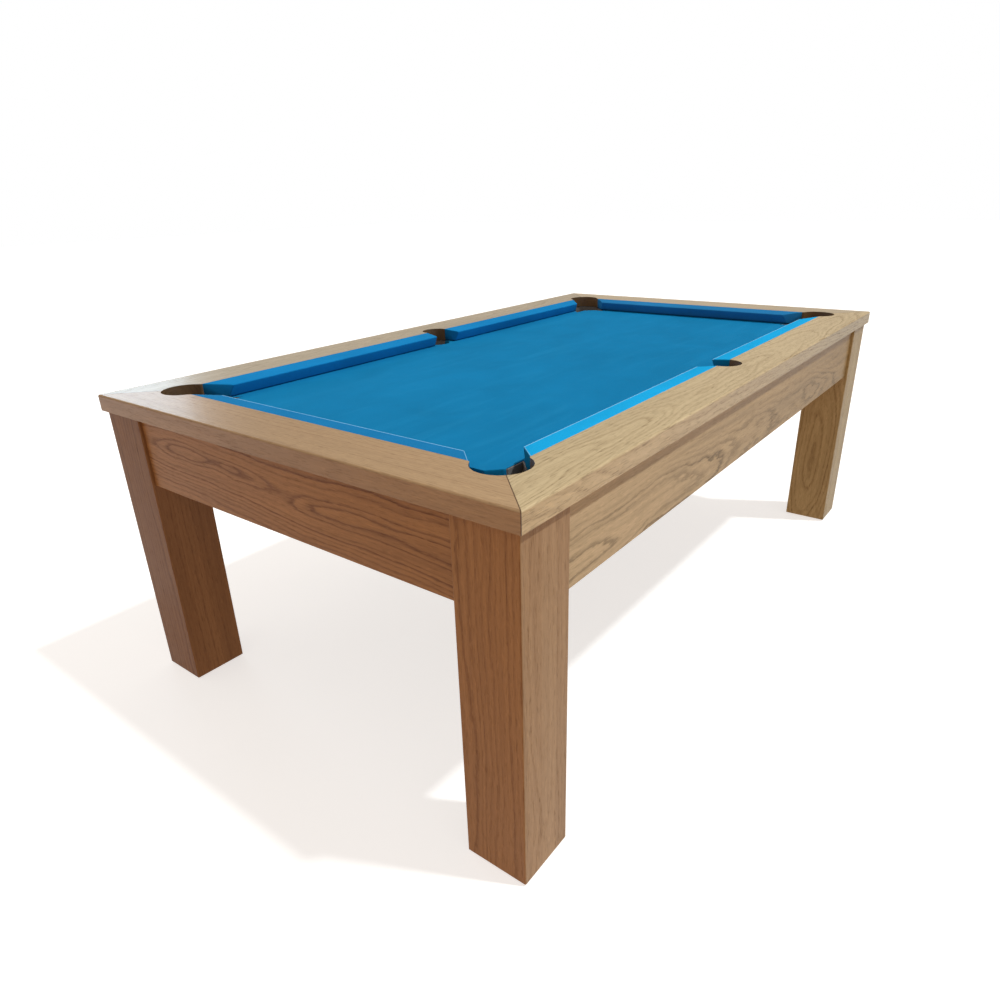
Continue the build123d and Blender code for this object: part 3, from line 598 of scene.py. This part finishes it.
def make_world():
    """A surround that the camera sees as white. It lights with a soft sky over a warm glow from below."""
    world = bpy.data.worlds.new("surround")
    bpy.context.scene.world = world
    world.use_nodes = True
    tree = world.node_tree
    tree.nodes.clear()

    def node(kind):
        return tree.nodes.new("ShaderNode" + kind)

    direction = node("SeparateXYZ")
    tree.links.new(node("TexCoord").outputs["Generated"], direction.inputs[0])
    ramp = node("ValToRGB")
    height = node("MapRange")
    height.inputs["From Min"].default_value = -1.0
    tree.links.new(direction.outputs["Z"], height.inputs["Value"])
    tree.links.new(height.outputs["Result"], ramp.inputs[0])
    low, high = ramp.color_ramp.elements
    low.position, high.position = HORIZON
    low.color, high.color = (*GLOW_BELOW, 1.0), (*SKY_ABOVE, 1.0)
    ambient = node("Background")
    tree.links.new(ramp.outputs["Color"], ambient.inputs["Color"])
    seen = node("Background")
    seen.inputs["Color"].default_value = (1.0, 1.0, 1.0, 1.0)
    choice, out = node("MixShader"), node("OutputWorld")
    tree.links.new(node("LightPath").outputs["Is Camera Ray"], choice.inputs[0])
    tree.links.new(ambient.outputs[0], choice.inputs[1])
    tree.links.new(seen.outputs[0], choice.inputs[2])
    tree.links.new(choice.outputs[0], out.inputs["Surface"])


def make_studio():
    """A pale floor, a white surround, a key light over the front side and a window behind the back side."""
    make_light("key", "SUN", KEY_PLACE, KEY_TARGET, KEY_POWER, KEY_COLOR, angle=KEY_ANGLE)
    make_light(
        "window", "AREA", WINDOW_PLACE, WINDOW_TARGET, WINDOW_POWER, WINDOW_COLOR,
        shape="RECTANGLE", size=WINDOW_SIZE[0], size_y=WINDOW_SIZE[1],
    )
    make_world()

    mesh = bpy.data.meshes.new("floor")
    square = [(x * FLOOR_HALF, y * FLOOR_HALF, 0.0) for x, y in ((-1, -1), (1, -1), (1, 1), (-1, 1))]
    mesh.from_pydata(square, [], [(0, 1, 2, 3)])
    floor = bpy.data.objects.new("floor", mesh)
    bpy.context.scene.collection.objects.link(floor)
    paint(floor, floor_material("pale_floor"))
    floor.visible_diffuse = False
    bpy.context.scene.view_settings.view_transform = "Standard"


# ---------------------------------------------------------------- CAD nodes that stay
def along_table(graph, near, far):
    """A painted light falloff: a tone that changes slowly from the left end of the table to the right."""
    x = graph.split(graph.position)[0]
    return graph.ramp(graph.times_plus(x, 0.5 / END_RAIL_HIGH.x, 0.5), (0.12, near), (0.85, far))


def across_table(graph, front, middle):
    """A painted light falloff: a tone that changes slowly from the front side of the table to its middle."""
    y = graph.split(graph.position)[1]
    return graph.ramp(graph.times_plus(y, 0.5 / RAIL_HIGH.y, 0.5), (0.05, front), (0.5, middle))


def rail_tone(graph, edge, arris=PLAIN):
    """A rail's painted light and shade: shade in its mitre lines, a highlight on its arris, shade on its
    outer edge and pocket walls.
    """
    x, y, z = graph.split(graph.position)
    far_x, far_y = graph.absolute(x), graph.absolute(y)
    # Painted shade along each mitre, for the shadow in the eased joint.
    seam = graph.minus(graph.minus(far_x, far_y), END_RAIL_HIGH.x - RAIL_HIGH.y)
    seam = graph.divide(graph.absolute(seam), MITRE_LINE)
    tone = graph.ramp(seam, (0.2, (0.30, 0.24, 0.18)), (0.5, PLAIN))
    # A painted highlight on the rounded top edge, between ARRIS_TOP and ARRIS_FOOT.
    eased = graph.times(graph.less(z, ARRIS_TOP), graph.more(z, ARRIS_FOOT))
    tone = graph.shade(tone, graph.mix(eased, PLAIN, arris))
    # Painted shade on all of the rail below the arris, which shows as its outer face.
    tone = graph.shade(tone, graph.mix(graph.less(z, ARRIS_FOOT), PLAIN, edge))
    # Painted shade on the walls of the pocket cuts, below the top.
    flat = graph.join(far_x, far_y, 0.0)
    for centre, reach in POCKET_CUTS:
        gap = graph.node("VectorMath", operation="DISTANCE")
        graph.feed(gap.inputs[0], flat)
        gap.inputs[1].default_value = centre
        near = graph.times(graph.less(gap.outputs["Value"], reach), graph.less(z, POCKET_WALL_TOP))
        tone = graph.mix(near, tone, POCKET_WALL)
    return tone


def dress_rails():
    """Boards whose figure runs along the table's edges, with the long rails' arches closing to the right."""
    sides = {"front": (FRONT_RAIL_LIGHT, FRONT_RAIL_DARK), "back": (BACK_RAIL_LIGHT, BACK_RAIL_DARK)}
    for name, (light, dark) in sides.items():
        graph = Graph(f"oak_rail_{name}")
        axes = board_axes(graph, "rail_X", (RAIL_HIGH.y + WOOD_Y) / 2, TABLE_TOP)
        edge = along_table(graph, RAIL_EDGE_SHADE_NEAR, RAIL_EDGE_SHADE_FAR)
        tone = rail_tone(graph, edge, along_table(graph, ARRIS_HIGHLIGHT_NEAR, ARRIS_HIGHLIGHT_FAR))
        shift, sink = 3.1 * SIDES[name], 0.045
        material = oak(
            graph, axes, light, dark, heart=(0.008, 0.070 - sink * shift), lean=(0.0, sink), spacing=0.0075,
            wave=(0.012, 0.012), shift=shift, contrast=0.65, tone=tone, pores=0.8, coat=0.22,
        )
        paint(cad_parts[f"rail_{name}"], material)
    ends = {
        "left": (NEAR_END_LIGHT, NEAR_END_DARK, NEAR_END_EDGE_SHADE),
        "right": (FAR_END_LIGHT, FAR_END_DARK, PLAIN),
    }
    for name, (light, dark, edge) in ends.items():
        graph = Graph(f"oak_rail_{name}")
        axes = board_axes(graph, "rail_Y", (END_RAIL_HIGH.x + WOOD_X) / 2, TABLE_TOP)
        tone = rail_tone(graph, edge)
        # Painted light falloff along the near end rail.
        if name == "left":
            tone = graph.shade(tone, across_table(graph, NEAR_END_LIT_FRONT, NEAR_END_SHADED_MIDDLE))
        material = oak(
            graph, axes, light, dark, heart=(-0.12, 0.10), lean=(0.01, 0.03), spacing=0.0070,
            wave=(0.008, 0.008), shift=2.3 * ENDS[name], contrast=0.6, tone=tone, coat=0.20,
        )
        paint(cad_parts[f"rail_{name}"], material)


def dress_aprons():
    """Flat-sawn boards. The long ones show broad arches low on the face, the end ones close wavy lines."""
    low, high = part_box("apron_back")
    for name, sign in SIDES.items():
        graph = Graph(f"oak_apron_{name}")
        axes = board_axes(graph, "apron_X", (low.z + high.z) / 2, high.y)
        shift, sink = 1.7 * sign, 0.052
        # The tone is a painted light falloff along the table.
        material = oak(
            graph, axes, LONG_APRON_LIGHT, LONG_APRON_DARK, heart=(-0.052, 0.080 - sink * shift),
            lean=(0.0, sink), spacing=0.0130, wave=(0.020, 0.018), shift=shift, contrast=1.0, plain=0.8,
            pores=0.4, jagged=1.1, tone=along_table(graph, LONG_APRON_LIT_NEAR, LONG_APRON_SHADED_FAR),
        )
        paint(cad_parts[f"apron_{name}"], material)
    low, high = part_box("apron_right")
    for name, sign in ENDS.items():
        graph = Graph(f"oak_apron_{name}")
        axes = board_axes(graph, "apron_Y", (low.z + high.z) / 2, high.x)
        material = oak(
            graph, axes, END_APRON_LIGHT, END_APRON_DARK, heart=(0.055, 0.05), lean=(0.04, 0.04),
            spacing=0.0108, wave=(0.015, 0.018), shift=0.9 * sign, contrast=1.0,
        )
        paint(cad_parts[f"apron_{name}"], material)


def dress_legs():
    """Each board of a leg has its own figure. Those that face across the table are glued from staves."""
    for index, (name, (heart, sink, along_painted_light, across_painted_light)) in enumerate(LEG_LOOKS.items()):
        graph = Graph(f"oak_leg_{name}")
        a, b, c, side, faces_x, faces_y = leg_axes(graph, *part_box(f"leg_{name}"))
        if sink:
            off = graph.minus(a, OVAL_HEIGHT)
            c = graph.times_plus(graph.times(off, off), -sink, c)
        stave = graph.math("FLOOR", graph.times_plus(b, 1 / LEG_STAVE, 0.3 + 0.2 * index))
        stave = graph.times(stave, faces_y)
        # Each side, stave and face takes its grain from another stretch of the tree.
        a = graph.times_plus(side, 1.9, graph.times_plus(stave, 3.7, a))
        a = graph.times_plus(faces_x, 5.3, a)
        b = graph.times_plus(faces_y, 0.09, b)
        swing = graph.math("FRACT", graph.times(stave, 0.37))
        tone = graph.ramp(swing, (0.0, PLAIN), (0.5, (0.88, 0.85, 0.82)), (1.0, (1.08, 1.06, 1.02)))
        # Painted light and shade, set leg by leg and face by face.
        tone = graph.shade(tone, across_painted_light)
        tone = graph.mix(faces_x, tone, along_painted_light)
        material = oak(
            graph, (a, b, c), LEG_LIGHT, LEG_DARK, heart=heart, spacing=0.0112, wave=(0.010, 0.011),
            shift=1.9 + 2.7 * index, contrast=graph.times_plus(faces_x, 0.42, 0.43), tone=tone,
        )
        paint(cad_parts[f"leg_{name}"], material)


def dress_inner_parts():
    """Frame, slate, rubber, liners and fasteners."""
    ply = {
        axis: timber(f"plywood_{length}", (0.60, 0.45, 0.28), (0.46, 0.32, 0.18), axis, 30.0, ply=True)
        for axis, length in (("X", "long"), ("Y", "short"))
    }
    pine = {
        axis: timber(f"pine_{axis.lower()}", (0.66, 0.48, 0.27), (0.50, 0.31, 0.14), axis, 70.0)
        for axis in "XYZ"
    }
    steel = zinc("zinc_plating")
    grey = plastic("liner_plastic", (0.20, 0.19, 0.185))
    gum = rubber("gum_rubber")
    materials = {"slate_bed": slate("slate"), "cushion_liners": pine["X"], "feather_strips": pine["X"]}
    for side in SIDES:
        materials[f"frame_side_{side}"] = ply["X"]
    for end in ENDS:
        materials[f"frame_end_{end}"] = ply["Y"]
    for number in range(1, 5):
        materials[f"cross_beam_{number}"] = pine["Y"]
    for name in ("frame_corner_blocks", "leg_top_blocks", "leg_foot_blocks"):
        materials[name] = pine["Z"]
    for name in ("rail_bolts", "rail_bolt_washers", "slate_screws", "leg_bolts", "leveller_inserts"):
        materials[name] = steel
    for corner in CORNERS:
        materials[f"leveller_{corner}"] = steel
    for place in (*CORNERS, *SIDES):
        materials[f"pocket_liner_{place}"] = grey
    for place in (*CORNERS, *ENDS):
        materials[f"cushion_rubber_{place}"] = gum
    for name, material in materials.items():
        paint(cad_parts[name], material)


# ---------------------------------------------------------------- outlines and shells
def rounded(points, radii, steps=6):
    """A path of straight runs whose corners are rounded. radii has one value for each inner point."""
    path = [Vector(points[0])]
    for before, corner, after, radius in zip(points, points[1:], points[2:], radii):
        before, corner, after = Vector(before), Vector(corner), Vector(after)
        back, on = (before - corner).normalized(), (after - corner).normalized()
        half = back.angle(on) / 2
        if radius == 0 or abs(half - math.pi / 2) < 1e-4:
            path.append(corner)
            continue
        centre = corner + (back + on).normalized() * (radius / math.sin(half))
        start = corner + back * (radius / math.tan(half)) - centre
        end = corner + on * (radius / math.tan(half)) - centre
        sweep = start.angle_signed(end)
        for step in range(steps + 1):
            angle = -sweep * step / steps
            cos, sin = math.cos(angle), math.sin(angle)
            path.append(centre + Vector((start.x * cos - start.y * sin, start.x * sin + start.y * cos)))
    path.append(Vector(points[-1]))
    return path


def lattice(mesh_maker, rows, closed=False):
    """Adds a grid of faces between rows of points. closed joins each row's end to its start."""
    made = [[mesh_maker.verts.new(point) for point in row] for row in rows]
    for upper, lower in zip(made, made[1:]):
        count = len(upper) if closed else len(upper) - 1
        for i in range(count):
            j = (i + 1) % len(upper)
            mesh_maker.faces.new((upper[i], upper[j], lower[j], lower[i]))
    return made


def to_mesh(mesh_maker, name, outward=None):
    """Writes a bmesh to a smooth mesh. outward is a direction that most faces should look towards."""
    bmesh.ops.recalc_face_normals(mesh_maker, faces=mesh_maker.faces)
    if outward is not None:
        total = sum((face.normal * face.calc_area() for face in mesh_maker.faces), Vector())
        if total.dot(Vector(outward)) < 0:
            bmesh.ops.reverse_faces(mesh_maker, faces=mesh_maker.faces)
    mesh = bpy.data.meshes.new(name)
    mesh_maker.to_mesh(mesh)
    mesh_maker.free()
    for polygon in mesh.polygons:
        polygon.use_smooth = True
    return mesh


def thicken(piece, thickness):
    """Gives a cloth surface its thickness, inwards from its face."""
    solidify = piece.modifiers.new("thickness", "SOLIDIFY")
    solidify.thickness = thickness
    solidify.offset = -1.0
    solidify.use_even_offset = False


# ---------------------------------------------------------------- bed cloth
def quarter_outline():
    """The bed cloth's edge in the back right quarter, from the side pocket round to the end.

    Each point comes with True where the cloth turns down into a pocket from there to the next point."""
    edge_x, edge_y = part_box("bed_cloth")[1].xy
    side_radius = SIDE_HOLE - FLAP_REACH
    outline = []
    steps = 18
    for step in range(steps + 1):
        angle = math.radians(-90 + 90 * step / steps)
        place = Vector((side_radius * math.cos(angle), SIDE_Y + side_radius * math.sin(angle)))
        outline.append((place, step < steps))
    outline.append((Vector((side_radius, edge_y)), False))
    first = (THROAT_X - THROAT_RUN, THROAT_Y)
    chamfer_first = (THROAT_X - THROAT_CHAMFER + FLAP_REACH * math.sqrt(2), THROAT_Y)
    chamfer_last = (THROAT_X + FLAP_REACH, THROAT_Y - THROAT_CHAMFER + FLAP_REACH * (math.sqrt(2) - 1))
    last = (THROAT_X + FLAP_REACH, THROAT_Y - THROAT_RUN + FLAP_REACH)
    outline.append((Vector((first[0] + edge_y - first[1], edge_y)), False))
    outline.append((Vector(first), False))
    start, *bend = rounded([first, chamfer_first, chamfer_last, last], [0.0, FLAP_ROUND], 8)[1:-1]
    outline += [(start.lerp(bend[0], part / 6), True) for part in range(6)]
    outline += [(place, True) for place in bend]
    outline += [(bend[-1].lerp(Vector(last), part / 6), part < 6) for part in range(1, 7)]
    outline.append((Vector((edge_x, last[1] + edge_x - last[0])), False))
    return outline


def full_outline():
    """The whole edge, clockwise from the back side pocket, as points and flap flags."""
    quarter = quarter_outline()
    places, flaps = [], []
    for x_sign, y_sign in ((1, 1), (1, -1), (-1, -1), (-1, 1)):
        part = [Vector((x_sign * place.x, y_sign * place.y)) for place, _ in quarter]
        flags = [flap for _, flap in quarter]
        if x_sign * y_sign < 0:
            part, flags = part[::-1], [*flags[-2::-1], False]
        if places and (places[-1] - part[0]).length < SAME_PLACE:
            part.pop(0)
            flaps[-1] = flags.pop(0)
        places += part
        flaps += flags
    if (places[0] - places[-1]).length < SAME_PLACE:
        places.pop()
        flaps.pop()
    return places, flaps


def outward_normals(places):
    """For each point of a closed outline, how far it moves when both of its edges move out by one."""
    normals = []
    for before, place, after in zip([places[-1], *places], places, [*places[1:], places[0]]):
        run_in, run_on = (place - before).normalized(), (after - place).normalized()
        out_in, out_on = Vector((-run_in.y, run_in.x)), Vector((-run_on.y, run_on.x))
        total = (out_in + out_on).normalized()
        normals.append(total / max(0.5, total.dot(out_in)))
    return normals


def make_bed_cloth():
    """One stretched sheet, cut round the six pockets and turned down into them."""
    places, flaps = full_outline()
    normals = outward_normals(places)
    count = len(places)
    maker = bmesh.new()
    inner = [maker.verts.new((*(p - n * EDGE_RING), CLOTH_TOP)) for p, n in zip(places, normals)]
    rim = [maker.verts.new((*p, CLOTH_TOP)) for p in places]
    maker.faces.new(inner)
    for i in range(count):
        j = (i + 1) % count
        maker.faces.new((inner[i], inner[j], rim[j], rim[i]))
    bend_out, bend_down = FLAP_BEND[-1]
    drops = list(FLAP_BEND)
    drops += [(bend_out + 0.0001, bend_down + (FLAP_DEPTH - bend_down) * part / 6) for part in range(1, 7)]
    rows = {}
    for i in range(count):
        if flaps[i] or flaps[i - 1]:
            ripple = FLAP_RIPPLE * math.sin(i * 1.7)
            rows[i] = [rim[i]]
            for out, drop in drops:
                place = places[i] + normals[i] * (out + ripple * drop / FLAP_DEPTH)
                rows[i].append(maker.verts.new((*place, CLOTH_TOP - drop)))
    for i in range(count):
        if flaps[i]:
            left, right = rows[i], rows[(i + 1) % count]
            for k in range(len(left) - 1):
                maker.faces.new((left[k], right[k], right[k + 1], left[k + 1]))
    mesh = to_mesh(maker, "fitted_bed_cloth", (0, 0, 1))
    material = cloth("bed_cloth", *BED_TONES, streaks=0.22)
    piece = new_piece("fitted_bed_cloth", mesh, material, "root", "bed_cloth", "bed_cloth")
    thicken(piece, CLOTH_TOP - SLATE_TOP)


# ---------------------------------------------------------------- cushions
def cushion_section():
    """The cover's outer face, as distance from the nose towards the wood and height."""
    corners = [
        (CUSHION_WIDTH, TABLE_TOP - 0.0012),
        (CUSHION_WIDTH - 0.0002, TABLE_TOP),
        (0.0, NOSE_Z),
        (NOSE_UNDERCUT, CUSHION_FOOT),
        (CLOTH_TURN_UNDER, CUSHION_FOOT),
    ]
    return rounded(corners, [0.0009, 0.0028, 0.0012])


def cushion_cover(name, material, nose_ends, lean, place):
    """One cushion's cloth cover: a section run along the rail between two slanting, closed ends.

    nose_ends are the ends of the nose along the rail, lean how far each moves by the wood, and place turns
    distance along the rail, distance from the nose and height into a point in the frame."""
    section = cushion_section()
    steps = 28
    rows = []
    for step in range(steps + 1):
        row = []
        for depth, height in section:
            start, end = (tip + slope * depth / CUSHION_WIDTH for tip, slope in zip(nose_ends, lean))
            row.append(place(start + (end - start) * step / steps, depth, height))
        rows.append(row)
    maker = bmesh.new()
    made = lattice(maker, rows)
    for row, tip, slope in ((made[0], nose_ends[0], lean[0]), (made[-1], nose_ends[1], lean[1])):
        heel = maker.verts.new(place(tip + slope, CUSHION_WIDTH, CUSHION_FOOT))
        maker.faces.new([*row, heel])
    inward = place(0.0, 0.0, 0.0) - place(0.0, 1.0, 0.0)
    mesh = to_mesh(maker, name, inward + Vector((0, 0, 1.5)))
    replaced = f"cushion_cloth_{name}"
    piece = new_piece(f"cushion_cover_{name}", mesh, material, "root", "cushion_cloth", replaced)
    bevel = piece.modifiers.new("folded_ends", "BEVEL")
    bevel.width = FOLD_WIDTH
    bevel.segments = 3
    bevel.limit_method = "ANGLE"
    bevel.angle_limit = math.radians(45)
    thicken(piece, CLOTH_SKIN)


def make_cushions():
    """Six covers. Each rail's covers take their own tone, which is painted light: the front covers' paler
    tone is a painted sheen.
    """
    cloths = {
        "front": cloth("cushion_cloth_front", *CUSHION_TONES["front"], rail="Y", nose_highlight=True, ends=0.45),
        "back": cloth("cushion_cloth_back", *CUSHION_TONES["back"], rail="Y", ends=0.75),
        "left": cloth("cushion_cloth_left", *CUSHION_TONES["left"], rail="X", nose_highlight=True),
        "right": cloth("cushion_cloth_right", *CUSHION_TONES["right"], rail="X"),
    }
    for name, (x_sign, y_sign) in CORNERS.items():
        def place(along, depth, height, x_sign=x_sign, y_sign=y_sign):
            return Vector((x_sign * along, y_sign * (NOSE_Y + depth), height))

        nose_ends = (SIDE_NOSE, NOSE_X - CORNER_MOUTH)
        lean = (-SIDE_LEAN, CUSHION_WIDTH)
        cushion_cover(name, cloths["front" if y_sign < 0 else "back"], nose_ends, lean, place)
    for name, sign in ENDS.items():
        def place(along, depth, height, sign=sign):
            return Vector((sign * (NOSE_X + depth), along, height))

        half = NOSE_Y - CORNER_MOUTH
        cushion_cover(name, cloths[name], (-half, half), (-CUSHION_WIDTH, CUSHION_WIDTH), place)


# ---------------------------------------------------------------- pocket bags
def bag_profile(top_radius, height):
    """A bag's half section from its rim down: a raised hem, a tapering wall and a rounded bottom.

    Each point is a radius and how far it lies below the rim."""
    profile = [
        (top_radius - 0.0021, 0.0),
        (top_radius - 0.0006, 0.0002),
        (top_radius + 0.0002, 0.0014),
        (top_radius, 0.0060),
        (top_radius + 0.0002, 0.0105),
        (top_radius - 0.0007, 0.0118),
    ]
    wall_radius = top_radius - 0.0010
    wall_foot = height - BAG_BOTTOM_ROUND
    steps = 12
    for step in range(steps + 1):
        share = step / steps
        profile.append((wall_radius - BAG_TAPER * share, BAG_HEM + (wall_foot - BAG_HEM) * share))
    base = wall_radius - BAG_TAPER - BAG_BOTTOM_ROUND
    for step in range(1, 6):
        angle = math.radians(90 * step / 6)
        drop = wall_foot + (BAG_BOTTOM_ROUND - 0.001) * math.sin(angle)
        profile.append((base + BAG_BOTTOM_ROUND * math.cos(angle), drop))
    for share in (0.75, 0.5, 0.25, 0.08):
        radius = (top_radius - BAG_TAPER - BAG_BOTTOM_ROUND) * share
        profile.append((radius, height - 0.0008 - 0.0006 * (1 - share)))
    return profile


def make_bag(name, hide, stitches):
    """A sewn leather bag that grips the liner's spout and sags into soft folds. Adds to the stitches."""
    low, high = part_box(f"pocket_bag_{name}")
    centre = (low + high) / 2
    top_radius = (high.x - low.x) / 2
    height = high.z - low.z
    around = 72
    rows = []
    for radius, drop in bag_profile(top_radius, height):
        sag = max(0.0, min(1.0, (drop - BAG_HEM) / (height - BAG_HEM)))
        row = []
        for k in range(around):
            angle = 2 * math.pi * k / around
            cos, sin = math.cos(angle), math.sin(angle)
            fold = BROAD_FOLD * math.sin(5 * angle + centre.x * 9)
            fold += NARROW_FOLD * math.sin(9 * angle + 2.0 + centre.y * 7)
            crease = noise.noise(Vector((centre.x * 31 + 4 * cos, 4 * sin, drop * 60)))
            off_seam = (angle - math.pi / 2) % math.pi - math.pi / 2
            seam = BAG_SEAM * math.exp(-((off_seam / BAG_SEAM_SPREAD) ** 2)) if sag > 0 else 0.0
            bulge = math.sin(math.pi * sag)
            size = radius - bulge * (BAG_SAG - fold) + BAG_CREASE * bulge * crease + seam
            row.append((centre.x + size * cos, centre.y + size * sin, high.z - drop))
        rows.append(row)
    maker = bmesh.new()
    made = lattice(maker, rows, closed=True)
    maker.faces.new(made[-1])
    mesh = to_mesh(maker, name, (0, 0, -1))
    piece = new_piece(f"leather_bag_{name}", mesh, hide, "root", "bag_leather", f"pocket_bag_{name}")
    thicken(piece, BAG_WALL)

    for ring_drop in STITCH_RINGS:
        for k in range(STITCH_COUNT):
            start = 2 * math.pi * k / STITCH_COUNT
            end = start + 2 * math.pi / STITCH_COUNT * STITCH_SHARE
            path = []
            for share in (0.0, 0.25, 0.5, 0.75, 1.0):
                angle = start + (end - start) * share
                size = top_radius + STITCH_LIFT + STITCH_ARCH * math.sin(math.pi * share)
                x, y = centre.x + size * math.cos(angle), centre.y + size * math.sin(angle)
                path.append(Vector((x, y, high.z - ring_drop)))
            add_thread(stitches, path, STITCH_RADIUS)


def add_thread(maker, path, radius):
    """A short round thread along a path, closed at both ends."""
    rows = []
    for index, place in enumerate(path):
        ahead = (path[min(index + 1, len(path) - 1)] - path[max(index - 1, 0)]).normalized()
        side = ahead.cross(Vector((0, 0, 1))).normalized()
        rise = side.cross(ahead)
        size = radius * (0.45 if index in (0, len(path) - 1) else 1.0)
        ring = []
        for k in range(6):
            angle = 2 * math.pi * k / 6
            ring.append(place + (side * math.cos(angle) + rise * math.sin(angle)) * size)
        rows.append(ring)
    made = lattice(maker, rows, closed=True)
    maker.faces.new(made[0][::-1])
    maker.faces.new(made[-1])


def make_bags():
    """Six bags, with all their stitches in one piece."""
    hide = leather("bag_leather")
    stitches = bmesh.new()
    for name in (*CORNERS, *SIDES):
        make_bag(name, hide, stitches)
    mesh = to_mesh(stitches, "bag_stitching")
    new_piece("bag_stitching", mesh, thread("waxed_thread"), "root", "bag_leather")


# ---------------------------------------------------------------- run
make_camera()
make_studio()
dress_rails()
dress_aprons()
dress_legs()
dress_inner_parts()
make_bed_cloth()
make_cushions()
make_bags()
